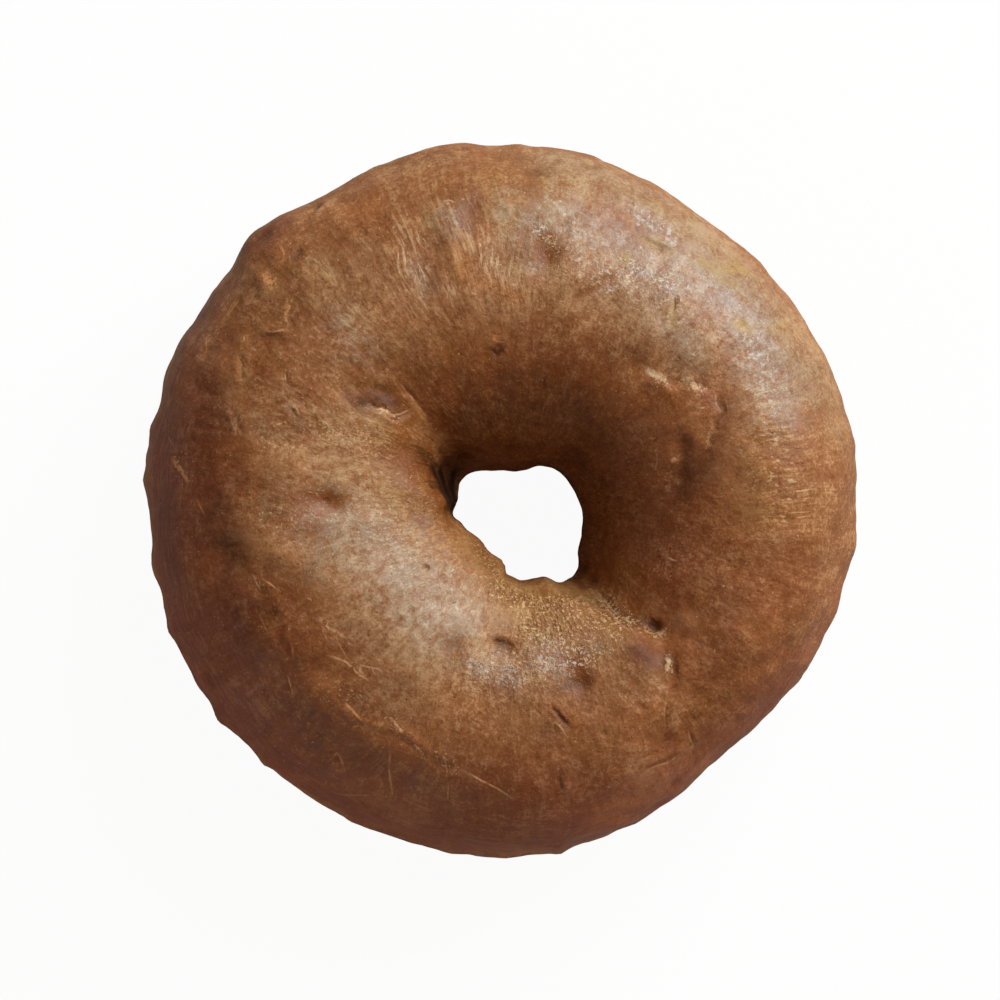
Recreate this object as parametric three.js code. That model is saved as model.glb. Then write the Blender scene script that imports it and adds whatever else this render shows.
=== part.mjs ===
// A rye bagel: one solid ring of baked dough, plump and uneven, with a small hole off its centre.
// Millimetres, +Z up. The origin is on the table under the middle of the rim, and +Y is the far side
// as one looks down on it. Angles run counterclockwise from +X, in degrees.
// Shape: each station round the ring has a rounded section that stands on a flat foot. The dough on
// the near left leans over the hole as a high lip, and the walls opposite slope down to a low waist.
import * as THREE from "three";

// Driving sizes
const rimRadius = 53.4;
const crestHeight = 37.5;
const rimHeight = 15; // where the side of the ring is widest
const holeCentre = new THREE.Vector2(2.85, -3);
const footFrom = 0.24; // the flat foot, as shares of the way from the hole to the rim
const footTo = 0.76;
const lowWaist = 12; // where the far walls of the hole stand nearest each other
const highLip = 23.5; // the same on the side that leans over the hole

// Clear radius of the hole at even steps round its centre, starting at +X
const holeRadii = [
  9.6, 9.3, 9.1, 8.3, 7.2, 8, 10.2, 10, 9.1, 6.5, 5.9, 6.1, 8.5, 8.9, 11.6, 9.7,
];

// Departures from a true ring: where they are, how far they rise, and how wide they spread, in degrees
const rimSwells = [
  { at: 9, rise: 0.5, spread: 11 },
  { at: 57, rise: -1.2, spread: 26 },
  { at: 76, rise: 1.2, spread: 9 },
  { at: 98, rise: 0.9, spread: 5 },
  { at: 122, rise: -0.3, spread: 5 },
  { at: 133, rise: 0.9, spread: 7 },
  { at: 144, rise: -0.6, spread: 6 },
  { at: 154, rise: 0.8, spread: 11 },
  { at: 185, rise: -0.7, spread: 5 },
  { at: 199, rise: 0.4, spread: 5 },
  { at: 243, rise: -0.5, spread: 14 },
  { at: 272, rise: 0.7, spread: 11 },
  { at: 312, rise: -2.8, spread: 19 },
  { at: 339, rise: -0.5, spread: 6 },
];
const crestSwells = [
  { at: 20, rise: -0.6, spread: 25 },
  { at: 75, rise: 0.7, spread: 22 },
  { at: 140, rise: -0.9, spread: 20 },
  { at: 215, rise: 1.6, spread: 34 },
  { at: 300, rise: -0.7, spread: 24 },
];
const crestPlace = 0.5; // share of the way from the hole to the rim
const crestShifts = [
  { at: 357, rise: 0.075, spread: 32 },
  { at: 45, rise: 0.045, spread: 55 },
  { at: 205, rise: -0.06, spread: 60 },
];
const lipFrom = 157; // the high lip runs between the two pinched corners of the hole
const lipTo = 306;
const lipFade = 11;

// Faces round the ring and round its section
const ringSteps = 112;
const sectionSteps = 44;

// Where the section's arcs begin, as steps, starting at the widest point of the rim
const stepCrest = 12;
const stepLip = 24;
const stepFootIn = 31;
const stepFootOut = 36;
const plumpTop = 2.1; // superellipse powers: 2 is an ellipse, more is squarer
const plumpFoot = 2.2;
const funnels = [{ at: 352, rise: -0.75, spread: 42 }]; // where the dough slopes straighter to the hole

// Relief on the crust. Places are seen from above.
const dimples = [
  { x: 6.3, y: 35, radius: 2.7, depth: 0.8 },
  { x: 5.1, y: 47.6, radius: 2.4, depth: 0.6 },
  { x: -3.7, y: 41.3, radius: 2.6, depth: 0.5 },
  { x: -0.6, y: 21, radius: 1.9, depth: 0.7 },
  { x: -24.7, y: 0.1, radius: 2.4, depth: 0.9 },
  { x: -38.8, y: -6.9, radius: 3, depth: 1 },
  { x: 0.4, y: -20.4, radius: 2, depth: 0.8 },
  { x: -6.4, y: -21, radius: 2.6, depth: 0.5 },
  { x: 11.9, y: -25.8, radius: 2.3, depth: 0.7 },
  { x: 24, y: -34.7, radius: 2.4, depth: 0.6 },
  { x: 22.4, y: -18.6, radius: 2.4, depth: 1.5 },
  { x: 22.3, y: 36.4, radius: 2.2, depth: 0.4 },
];
const lumps = [
  { x: -36, y: 38, radius: 5, height: 1.1 },
  { x: -29, y: 34.5, radius: 3.2, height: 0.6 },
  { x: -34.5, y: 28, radius: 3.8, height: 0.6 },
  { x: -27.5, y: 41.5, radius: 3, height: 0.4 },
  { x: -12.5, y: 33, radius: 3, height: 0.5 },
  { x: -4.5, y: 35.5, radius: 3, height: 0.4 },
  { x: 25, y: 10.5, radius: 4, height: 1 },
  { x: 24.5, y: 4.5, radius: 3.4, height: 0.8 },
  { x: 20, y: 16, radius: 3.6, height: 0.7 },
  { x: 27.5, y: 15.5, radius: 3.2, height: 0.5 },
  { x: -35.5, y: 14, radius: 5, height: 0.5 },
  { x: -31.5, y: -6, radius: 3.6, height: 0.8 },
  { x: -18, y: 11, radius: 3.4, height: 0.5 },
  { x: -26, y: -22, radius: 4.2, height: 0.5 },
  { x: 12.5, y: -15.5, radius: 3.6, height: 0.7 },
  { x: 34, y: -24, radius: 7, height: 0.4 },
];
// Folds follow a line: a groove, and beside it a raised edge, on the left as one walks from the first
// point where its height is positive and on the right where it is negative. Both fade along the line.
const folds = [
  {
    name: "valley below the right arm",
    points: [[14, -12.5], [23.5, -18], [28, -26], [29, -35]],
    width: 6.5,
    depth: 1.7,
    edge: -0.2,
    fade: 0.6,
  },
  {
    name: "lower right fold",
    points: [[12.5, -11.5], [17.8, -15.1], [22.2, -18.5], [24.4, -23.5], [27.2, -33.8]],
    width: 2.1,
    depth: 1.3,
    edge: -0.8,
    fade: 0.55,
  },
  {
    name: "upper left fold",
    points: [[-8, 3.4], [-8, 7.8], [-11.5, 12.6], [-16.8, 19.5]],
    width: 2.3,
    depth: 1.2,
    edge: 0.5,
    fade: 0.7,
  },
  {
    name: "right inner crease",
    points: [[17, 19.5], [28.5, 17.8], [33, 13], [33, 6.5], [30, 0]],
    width: 1.9,
    depth: 0.9,
    edge: -0.2,
    fade: 0.5,
  },
  {
    name: "torn edge in the crease",
    points: [[27, 9.5], [27, 0]],
    width: 1.6,
    depth: 0.8,
    edge: -0.3,
    fade: 0.4,
  },
  {
    name: "radial groove",
    points: [[-10.2, 39.5], [-8, 30.7]],
    width: 1.9,
    depth: 0.5,
    edge: 0.2,
    fade: 0.8,
  },
  {
    name: "wrinkle above the left lip",
    points: [[-22.5, 16.2], [-17.5, 14], [-12.5, 13.4]],
    width: 1.7,
    depth: 0.6,
    edge: -0.5,
    fade: 0.8,
  },
];
const edgeOffset = 1.5; // where a fold's raised edge lies and how wide it is, in widths of the groove
const edgeSpread = 1.2;
// A long raised shoulder parts the top from the near left side
const shoulder = {
  points: [
    [-38, -3], [-37.6, -13.5], [-30.6, -23.4], [-21.8, -30.6], [-12.4, -35.8],
    [-2, -40.4], [10, -42], [20.5, -39.4], [28.2, -34],
  ],
  width: 2.6,
  height: 0.45,
};
const unevenness = { steepness: 0.04, waveLengths: [27, 23, 19, 16, 14, 12, 10, 9] };
const goldenAngle = Math.PI * (3 - Math.sqrt(5));

const rad = THREE.MathUtils.degToRad;
const bell = (distance, spread) => Math.exp(-((distance / spread) ** 2));
const degreesApart = (a, b) => Math.abs(((a - b + 540) % 360) - 180);
const swell = (swells, angle) =>
  swells.reduce((sum, s) => sum + s.rise * bell(degreesApart(angle, s.at), s.spread), 0);

// The hole's clear radius at any angle, as a smooth closed curve through the measured ones
const holeCurve = new THREE.CatmullRomCurve3(
  holeRadii.map((r, i) => {
    const angle = rad((i * 360) / holeRadii.length);
    return new THREE.Vector3(r * Math.cos(angle), r * Math.sin(angle), 0);
  }),
  true,
  "centripetal",
);

function holePoint(angle) {
  const p = holeCurve.getPoint((((angle % 360) + 360) % 360) / 360);
  return new THREE.Vector2(p.x, p.y).add(holeCentre);
}

function rimPoint(angle) {
  const radius = rimRadius + swell(rimSwells, angle);
  return new THREE.Vector2(radius * Math.cos(rad(angle)), radius * Math.sin(rad(angle)));
}

// Height at which the hole is narrowest: low on the far walls, high along the leaning lip
function waistHeight(angle) {
  const a = ((angle % 360) + 360) % 360;
  const inLip =
    THREE.MathUtils.smoothstep(a, lipFrom - lipFade, lipFrom + lipFade) *
    (1 - THREE.MathUtils.smoothstep(a, lipTo - lipFade, lipTo + lipFade));
  return THREE.MathUtils.lerp(lowWaist, highLip, inLip);
}

// A quarter of a superellipse from (1, 0) at share 0 to (0, 1) at share 1
function quarter(share, power) {
  const turn = (share * Math.PI) / 2;
  return [Math.cos(turn) ** (2 / power), Math.sin(turn) ** (2 / power)];
}

// Across (0 at the hole, 1 at the rim) and height of the section at a step round it
function section(angle, step) {
  const crestAt = crestPlace + swell(crestShifts, angle);
  const crest = crestHeight + swell(crestSwells, angle);
  const waist = waistHeight(angle);
  if (step <= stepCrest) {
    const [out, up] = quarter(step / stepCrest, plumpTop);
    return [crestAt + (1 - crestAt) * out, rimHeight + (crest - rimHeight) * up];
  }
  if (step <= stepLip) {
    const plump = plumpTop + swell(funnels, angle);
    const [out, up] = quarter((stepLip - step) / (stepLip - stepCrest), plump);
    return [crestAt * (1 - out), waist + (crest - waist) * up];
  }
  if (step <= stepFootIn) {
    const [out, down] = quarter((step - stepLip) / (stepFootIn - stepLip), plumpFoot);
    return [footFrom * (1 - out), waist * (1 - down)];
  }
  if (step <= stepFootOut) {
    return [THREE.MathUtils.mapLinear(step, stepFootIn, stepFootOut, footFrom, footTo), 0];
  }
  const [out, down] = quarter((sectionSteps - step) / (sectionSteps - stepFootOut), plumpFoot);
  return [footTo + (1 - footTo) * out, rimHeight * (1 - down)];
}

function smoothSkin(angle, step) {
  const [across, height] = section(angle, step);
  const plan = holePoint(angle).lerp(rimPoint(angle), across);
  return new THREE.Vector3(plan.x, plan.y, height);
}

function skinNormal(angle, step) {
  const small = 0.05; // degrees or steps
  const wrapped = (s) => (s + sectionSteps) % sectionSteps;
  const along = smoothSkin(angle + small, step).sub(smoothSkin(angle - small, step));
  const up = smoothSkin(angle, wrapped(step + small)).sub(smoothSkin(angle, wrapped(step - small)));
  return along.cross(up).normalize();
}

// Signed distance in plan from a line of points, positive on its left, and the share run along it
function fromLine(x, y, points) {
  let best = { distance: Infinity, side: 1, share: 0 };
  for (let i = 0; i + 1 < points.length; i++) {
    const [ax, ay] = points[i];
    const [bx, by] = points[i + 1];
    const [dx, dy] = [bx - ax, by - ay];
    const t = THREE.MathUtils.clamp(((x - ax) * dx + (y - ay) * dy) / (dx * dx + dy * dy), 0, 1);
    const distance = Math.hypot(x - ax - t * dx, y - ay - t * dy);
    if (distance < best.distance) {
      const side = dx * (y - ay) - dy * (x - ax) >= 0 ? 1 : -1;
      best = { distance, side, share: (i + t) / (points.length - 1) };
    }
  }
  return best;
}

function foldRelief(x, y, fold) {
  const { distance, side, share } = fromLine(x, y, fold.points);
  const towardsEdge = side * Math.sign(fold.edge) * distance;
  const groove = -fold.depth * bell(distance, fold.width);
  const edge = Math.abs(fold.edge) * bell(towardsEdge - edgeOffset * fold.width, edgeSpread * fold.width);
  return (1 - fold.fade * share) * (groove + edge);
}

// Low waves, each along its own direction in space, make the crust uneven without a pattern
function waves(p) {
  const { steepness, waveLengths } = unevenness;
  return waveLengths.reduce((sum, length, i) => {
    const up = 1 - (2 * i + 1) / waveLengths.length;
    const heading = i * goldenAngle;
    const flat = Math.sqrt(1 - up * up);
    const along = p.x * flat * Math.cos(heading) + p.y * flat * Math.sin(heading) + p.z * up;
    const k = (2 * Math.PI) / length;
    return sum + (steepness / k) * Math.sin(k * along + heading);
  }, 0);
}

// The named features show on what faces up, and the waves everywhere but on the foot
function relief(p, normal) {
  const top = THREE.MathUtils.smoothstep(normal.z, 0, 0.35);
  const clearOfFoot = THREE.MathUtils.smoothstep(p.z, 1, 9);
  let rise = 0;
  for (const d of dimples) rise -= d.depth * bell(Math.hypot(p.x - d.x, p.y - d.y), d.radius);
  for (const l of lumps) rise += l.height * bell(Math.hypot(p.x - l.x, p.y - l.y), l.radius);
  for (const f of folds) rise += foldRelief(p.x, p.y, f);
  rise += shoulder.height * bell(fromLine(p.x, p.y, shoulder.points).distance, shoulder.width);
  return top * rise + clearOfFoot * waves(p);
}

// The ring starts as a torus, and each of its vertices is moved to the bagel's skin
function bagelGeometry() {
  const geometry = new THREE.TorusGeometry(rimRadius, crestHeight / 2, sectionSteps, ringSteps);
  const position = geometry.getAttribute("position");
  const uv = geometry.getAttribute("uv");
  for (let i = 0; i < position.count; i++) {
    const angle = Math.round(uv.getX(i) * ringSteps) % ringSteps * (360 / ringSteps);
    const step = Math.round(uv.getY(i) * sectionSteps) % sectionSteps;
    const p = smoothSkin(angle, step);
    const normal = skinNormal(angle, step);
    p.addScaledVector(normal, relief(p, normal));
    position.setXYZ(i, p.x, p.y, p.z);
  }
  geometry.deleteAttribute("uv");
  geometry.computeVertexNormals();
  return geometry;
}

const crust = new THREE.MeshStandardMaterial({ color: 0x8f5f3d, roughness: 0.5, metalness: 0 });
const bagel = new THREE.Mesh(bagelGeometry(), crust);
bagel.name = "bagel";

const part = new THREE.Group();
part.add(bagel);

export default part;
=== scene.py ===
import math

import bpy
import numpy as np
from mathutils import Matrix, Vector, noise


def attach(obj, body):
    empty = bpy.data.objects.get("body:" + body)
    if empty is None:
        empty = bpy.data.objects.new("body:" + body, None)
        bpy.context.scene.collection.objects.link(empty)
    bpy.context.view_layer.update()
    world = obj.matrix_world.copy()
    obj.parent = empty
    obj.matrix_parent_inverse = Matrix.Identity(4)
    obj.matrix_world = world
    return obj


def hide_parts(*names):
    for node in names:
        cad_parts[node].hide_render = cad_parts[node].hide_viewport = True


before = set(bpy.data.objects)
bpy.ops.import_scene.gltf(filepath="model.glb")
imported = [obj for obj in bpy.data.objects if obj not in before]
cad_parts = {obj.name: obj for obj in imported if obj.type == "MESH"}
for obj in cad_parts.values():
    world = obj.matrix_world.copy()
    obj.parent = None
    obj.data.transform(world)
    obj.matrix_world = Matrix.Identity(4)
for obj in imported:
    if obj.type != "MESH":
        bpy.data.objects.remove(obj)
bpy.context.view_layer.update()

# A rye bagel, looked down on from straight above. Places on it are given as pixels of the 1000 by 1000
# picture, and sizes on it in millimetres.
picture = {
    "middle": (500, 500),
    "rimMiddle": (501, 500),  # the pixel over the part's origin
    "pixel": 0.00015,  # metres across a pixel at the rim's height
    "rimHeight": 0.017,
    "distance": 0.417,  # from the lens down to the rim's height
    "lens": 100,
    "sensor": 36,
    "nearest": 0.01,  # nothing closer to the lens is seen
}
millimetre = 0.001


def atRimHeight(pixel):
    across = (pixel[0] - picture["rimMiddle"][0]) * picture["pixel"]
    up = (picture["rimMiddle"][1] - pixel[1]) * picture["pixel"]
    return across, up, picture["rimHeight"]


def placeCamera():
    across, up, height = atRimHeight(picture["middle"])
    place = (across, up, height + picture["distance"])
    bpy.ops.object.camera_add(location=place, rotation=(0, 0, 0))
    camera = bpy.context.object
    camera.name = "overheadCamera"
    camera.data.lens = picture["lens"]
    camera.data.sensor_width = picture["sensor"]
    camera.data.clip_start = picture["nearest"]
    bpy.context.scene.camera = camera
    return camera


eye = placeCamera().location.copy()
print("camera placed")


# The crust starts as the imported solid's own skin, made smooth and fine enough for small relief
crustMesh = {
    "mergeWithin": 0.000001,
    "smoothing": 2,
    "underside": 0.0006,  # faces below this height are the foot, which needs few
    "undersideShare": 0.3,
}


def selectOnly(obj):
    bpy.ops.object.select_all(action="DESELECT")
    obj.select_set(True)
    bpy.context.view_layer.objects.active = obj


def startCrust():
    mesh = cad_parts["bagel"].data.copy()
    crust = bpy.data.objects.new("ryeBagel", mesh)
    bpy.context.scene.collection.objects.link(crust)
    selectOnly(crust)
    bpy.ops.mesh.customdata_custom_splitnormals_clear()
    bpy.ops.object.mode_set(mode="EDIT")
    bpy.ops.mesh.select_all(action="SELECT")
    bpy.ops.mesh.remove_doubles(threshold=crustMesh["mergeWithin"])
    bpy.ops.mesh.tris_convert_to_quads(face_threshold=math.pi, shape_threshold=math.pi)
    bpy.ops.object.mode_set(mode="OBJECT")
    smoothing = crust.modifiers.new("smoothing", "SUBSURF")
    smoothing.levels = smoothing.render_levels = crustMesh["smoothing"]
    bpy.ops.object.modifier_apply(modifier="smoothing")
    return crust


def selectFaces(obj, chosen):
    # Leaves the object in edit mode with only the chosen faces selected
    corners = np.zeros(len(obj.data.vertices), bool)
    for face in np.flatnonzero(chosen):
        corners[list(obj.data.polygons[face].vertices)] = True
    obj.data.polygons.foreach_set("select", chosen)
    obj.data.edges.foreach_set("select", np.zeros(len(obj.data.edges), bool))
    obj.data.vertices.foreach_set("select", corners)
    bpy.ops.object.mode_set(mode="EDIT")
    bpy.ops.mesh.select_mode(type="FACE")


def faceMiddles(obj):
    flat = np.empty(len(obj.data.polygons) * 3)
    obj.data.polygons.foreach_get("center", flat)
    return flat.reshape(-1, 3)


def thinUnderside(crust):
    selectFaces(crust, faceMiddles(crust)[:, 2] < crustMesh["underside"])
    bpy.ops.mesh.decimate(ratio=crustMesh["undersideShare"])
    bpy.ops.object.mode_set(mode="OBJECT")


crust = startCrust()
thinUnderside(crust)
print("crust started:", len(crust.data.polygons), "faces")


# Where things are on the crust
def points(obj):
    flat = np.empty(len(obj.data.vertices) * 3)
    obj.data.vertices.foreach_get("co", flat)
    return flat.reshape(-1, 3)


def underPixel(pixel):
    target = Vector(atRimHeight(pixel))
    hit, place, normal, face = crust.ray_cast(eye, target - eye)
    if not hit:
        hit, place, normal, face = crust.closest_point_on_mesh(target)
    return place, normal


def bell(distance, spread):
    return np.exp(-((distance / spread) ** 2))


def smoothStep(value, low, high):
    share = np.clip((value - low) / (high - low), 0, 1)
    return share * share * (3 - 2 * share)


def softPath(corners, step=2.0):
    # A smooth line through the given pixels, a point every step pixels
    corners = [np.array(c, float) for c in corners]
    if len(corners) == 1:
        return corners
    ends = [2 * corners[0] - corners[1]] + corners + [2 * corners[-1] - corners[-2]]
    path = []
    for i in range(1, len(ends) - 2):
        before, start, end, after = ends[i - 1 : i + 3]
        count = max(1, int(round(np.linalg.norm(end - start) / step)))
        for k in range(count):
            t = k / count
            bend = (2 * before - 5 * start + 4 * end - after) * t * t
            twist = (3 * start - before - 3 * end + after) * t**3
            path.append(0.5 * (2 * start + (end - before) * t + bend + twist))
    path.append(corners[-1])
    return path


def alongStroke(corners, reach, skin, wobble=0.0, wobbleSize=1.1):
    # Vertices within reach of a stroke, how far they are across it (left is positive), how far along
    # it as a share, and their plain distance, in millimetres
    places = [underPixel(p) for p in softPath(corners)]
    line = np.array([p for p, n in places])
    outward = np.array([n for p, n in places])
    low = line.min(0) - reach * millimetre
    high = line.max(0) + reach * millimetre
    near = np.flatnonzero(((skin > low) & (skin < high)).all(1))
    gap = skin[near][:, None, :] - line[None, :, :]
    apart = np.linalg.norm(gap, axis=2)
    closest = apart.argmin(1)
    apart = apart[np.arange(len(near)), closest]
    keep = apart < reach * millimetre
    if len(line) == 1:
        return near[keep], apart[keep] / millimetre, np.full(keep.sum(), 0.5), apart[keep] / millimetre
    ahead = np.gradient(line, axis=0)
    ahead /= np.linalg.norm(ahead, axis=1)[:, None] + 1e-12
    left = np.cross(outward, ahead)
    gap = gap[np.arange(len(near)), closest]
    across = (gap * left[closest]).sum(1)
    onward = (gap * ahead[closest]).sum(1)
    share = closest / (len(line) - 1)
    if wobble:
        sway = np.array([noise.noise(Vector(p) / (wobbleSize * millimetre)) for p in line])
        across = across + sway[closest] * wobble * millimetre
    pastEnd = np.where(closest == 0, -onward, np.where(closest == len(line) - 1, onward, 0))
    apart = np.hypot(across, np.maximum(pastEnd, 0))
    return near[keep], across[keep] / millimetre, share[keep], apart[keep] / millimetre


def fadeAtEnds(share, length=0.25):
    return smoothStep(share, 0, length) * smoothStep(1 - share, 0, length)


# Small creases and cracks: path, width, depth, and the raised edge on the left (positive) or the right
creases = {
    "rightLedge": ([(640, 366), (655, 374), (672, 381), (700, 386), (720, 396)], 0.9, 0.22, -0.1),
    "rightLedgeDown": (
        [(720, 392), (718, 402), (723, 412), (715, 421), (716, 430), (709, 438), (711, 450)], 0.7, 0.2, -0.12
    ),
    "rightHollow": ([(683, 432), (686, 460), (684, 494)], 1.7, 0.34, -0.2),
    "lowerRightFold": ([(592, 584), (606, 600), (622, 616), (638, 627), (655, 634)], 0.9, 0.28, -0.3),
    "lowerRightCrack": ([(672, 655), (676, 668), (672, 690), (667, 716), (668, 735)], 0.7, 0.22, -0.12),
    "upperLeftLip": ([(362, 405), (384, 409), (397, 417), (416, 407)], 0.7, 0.28, -0.16),
    "upperLeftLine": ([(396, 380), (408, 394), (421, 408), (432, 424)], 0.7, 0.2, -0.12),
    "upperLeftShade": ([(345, 386), (372, 389), (398, 396)], 1.4, 0.25, 0.1),
    "leftCreaseUpper": ([(285, 371), (286, 380), (291, 387)], 0.7, 0.16, 0.08),
    "leftCreaseLower": ([(288, 406), (294, 413), (302, 420)], 0.7, 0.16, 0.12),
    "leftShelf": ([(256, 339), (270, 337), (288, 335)], 1.0, 0.22, 0.16),
    "leftStep": ([(236, 352), (241, 363), (243, 378), (241, 392)], 0.8, 0.14, -0.1),
    "leftStepDown": ([(231, 402), (236, 422), (243, 437)], 0.7, 0.2, -0.14),
    "leftEdgeFold": ([(222, 345), (206, 352), (193, 356)], 1.0, 0.2, -0.15),
    "lumpCrease": ([(302, 240), (297, 253), (290, 265)], 1.0, 0.24, 0.1),
    "lumpStreak": ([(322, 203), (312, 211), (304, 220)], 1.0, 0.28, 0.1),
    "lumpFoot": ([(243, 268), (252, 281), (255, 296), (240, 305)], 0.9, 0.1, 0.1),
    "pitLine": ([(632, 231), (646, 239), (660, 247), (680, 252)], 0.7, 0.22, 0.08),
    "uprightCrack": ([(674, 290), (675, 303), (672, 316), (670, 330)], 0.5, 0.16, 0.06),
    "slantCrease": ([(580, 296), (598, 285), (617, 271)], 0.8, 0.14, 0.04),
    "lowerSlit": ([(492, 639), (502, 643), (515, 648)], 0.7, 0.3, 0.06),
    "lowerCut": ([(548, 706), (556, 711), (562, 720), (571, 727)], 0.45, 0.22, 0.1),
    "lowSlit": ([(556, 780), (561, 787), (564, 795)], 0.5, 0.12, 0.05),
    "shoulderEdge": ([(630, 781), (656, 767), (680, 756), (693, 744)], 0.8, 0.08, 0.2),
    "shoulderTurn": ([(686, 729), (690, 737), (694, 746)], 0.6, 0.18, 0.14),
    "flankEdge": ([(250, 571), (257, 584), (270, 606), (282, 640), (296, 668)], 1.1, 0.08, 0.2),
    "flankEdgeLow": ([(316, 692), (348, 722), (396, 738), (428, 758), (470, 780)], 0.9, 0.1, 0.2),
    "starScratch": ([(327, 753), (338, 756), (346, 774)], 0.8, 0.2, 0.2),
    "groove": ([(433, 236), (437, 250), (446, 268), (452, 290)], 1.2, 0.1, 0.06),
    "cornerSeam": ([(448, 480), (444, 462), (438, 446)], 1.2, 0.4, 0.15),
}

# The shape across a crease, in widths of it
creaseShape = {
    "reach": 3.2,
    "wobble": 0.35,
    "groove": 0.6,
    "edgeAt": 1.15,  # how far beside the middle its raised edge runs
    "edge": 0.75,
}

# Dents and knobs: where, how wide and how deep. A negative depth is a knob.
dents = {
    "topDimple": [(538, 173), 1.5, 0.25],
    "crestDimple": [(549, 256), 1.4, 0.3],
    "crestKnob": [(536, 266), 1.4, -0.25],
    "crestKnobLeft": [(508, 205), 1.7, -0.25],
    "ochreDip": [(476, 216), 1.8, 0.3],
    "ridgeKnob": [(451, 212), 1.4, -0.25],
    "darkPit": [(496, 353), 0.8, 0.25],
    "darkPitSide": [(503, 347), 0.6, 0.2],
    "smallPit": [(661, 250), 0.9, 0.3],
    "edgePit": [(695, 219), 0.8, 0.3],
    "leftPit": [(326, 501), 1.7, 0.38],
    "leftPitRim": [(322, 514), 1.3, -0.18],
    "pinhole": [(427, 568), 0.45, 0.4],
    "pinholeLeft": [(392, 565), 0.4, 0.25],
    "softDent": [(456, 645), 1.6, 0.3],
    "lowerDent": [(582, 682), 1.2, 0.35],
    "lowerRough": [(545, 733), 1.2, 0.25],
    "foldPit": [(655, 626), 1.0, 0.85],
    "foldPitRim": [(662, 636), 0.8, -0.15],
    "rightDip": [(668, 743), 1.3, 0.35],
    "rimDip": [(673, 784), 1.2, 0.25],
    "ledgeLump": [(634, 395), 2.2, -0.35],
    "ledgeFlake": [(655, 375), 0.9, -0.2],
    "ledgeFlakeRight": [(691, 382), 0.9, -0.2],
    "hollowLump": [(673, 462), 1.3, -0.3],
    "hollowLumpLow": [(668, 489), 1.1, -0.25],
    "flankHollow": [(233, 549), 1.8, 0.4],
    "flankKnob": [(281, 552), 1.5, -0.35],
    "flankKnobSmall": [(254, 569), 0.8, -0.3],
    "upperLeftDark": [(262, 238), 1.4, 0.35],
    "upperLeftDarkRim": [(209, 679), 1.2, 0.25],
    "lumpTop": [(272, 252), 1.9, -0.3],
    "lumpLow": [(236, 300), 1.5, -0.25],
    "shelfKnob": [(245, 345), 1.4, -0.22],
    "grazeKnob": [(354, 595), 0.5, -0.18],
    "grazeKnobMiddle": [(402, 615), 0.5, -0.2],
    "grazeKnobLow": [(415, 637), 0.6, -0.2],
    "fleck": [(668, 664), 0.8, -0.22],
    "fleckLow": [(667, 692), 0.8, -0.15],
    "speckPitOne": [(640, 706), 0.4, 0.3],
    "speckPitTwo": [(604, 734), 0.45, 0.3],
    "speckPitThree": [(694, 719), 0.4, 0.3],
    "ochrePit": [(745, 326), 0.6, 0.3],
}
dentReach = 2.6  # widths on every side that a dent may move

# The outlines' small scallops: degrees round the ring's middle, rise in millimetres, spread in degrees.
# A rise is outwards on the rim, and into the hole on its wall. Distances are in millimetres.
rim = {
    "middle": (0, 0),
    "reach": (42, 50),  # from none to full, by the distance from the middle
    "foot": (2, 8),  # and by the height
    "shoulder": (22, 32),  # from full to none, by the height
    "scallops": [
        (10, 0.35, 2.2), (28, -0.5, 3.2), (36, 0.1, 2.4), (43, 0.25, 2.4), (54, -0.3, 7), (63, 0.1, 3),
        (87, 0.25, 2), (91.5, -0.2, 3), (97, -0.2, 2), (100.5, -0.05, 2), (127, 0.2, 2.2), (133, 0.25, 3),
        (139, -0.25, 2), (144.5, 0.2, 2.4), (150, -0.15, 1.6), (154, 0.3, 1.6), (164, -0.35, 2.2),
        (169, 0.4, 1.8), (173, 0.55, 2.2), (177, 0.6, 1.8), (190.5, 0.35, 2.2), (195, -0.3, 2),
        (201.5, 0.6, 1.6), (208, -0.25, 3), (218, 0.7, 1.6), (224, -0.35, 2.2), (228, 0.4, 1.2),
        (252, -0.35, 2.6), (261, 0.3, 2), (265, -0.1, 1.6), (271, 0.2, 2), (279.5, 0.5, 1.2),
        (283, -0.35, 2.2), (292, 0.2, 3), (307, -0.1, 3.6), (321, -0.25, 3.4), (328, 0.2, 2.6),
        (337, -0.2, 2.4), (346, -0.2, 3), (352.5, 0.7, 3), (0, -0.35, 3),
    ],
}
hole = {
    "middle": (2.85, -3.0),
    "reach": (15, 11),
    "foot": (3, 7),
    "shoulder": (28, 33),
    "scallops": [
        (81, 0.22, 6), (147, -0.35, 9), (174, -0.5, 6), (183, 0.25, 5), (224, -0.38, 14), (246, 0.3, 5),
        (250, -0.45, 9), (252, 0.25, 3), (259, -0.55, 4), (268, -0.2, 6), (304, -0.65, 6),
        (342, -0.25, 9),
    ],
}

# Unevenness all over, coarse to fine: size of the swells and their rise, in millimetres
swells = {
    "softSwells": [5.5, 0.3],
    "lowLumps": [2.8, 0.13],
    "pebbles": [1.25, 0.05],
}
clearOfFoot = (0.0004, 0.006)  # the heights between which they grow from none to full, in metres

# How far from a crease or a small dent the faces are made finer
refining = {
    "creaseWidths": 1.3,
    "margin": 0.5,  # millimetres beyond those widths
    "smallDent": 1.3,  # dents narrower than this need finer faces
    "dentWidths": 1.4,
}


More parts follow.
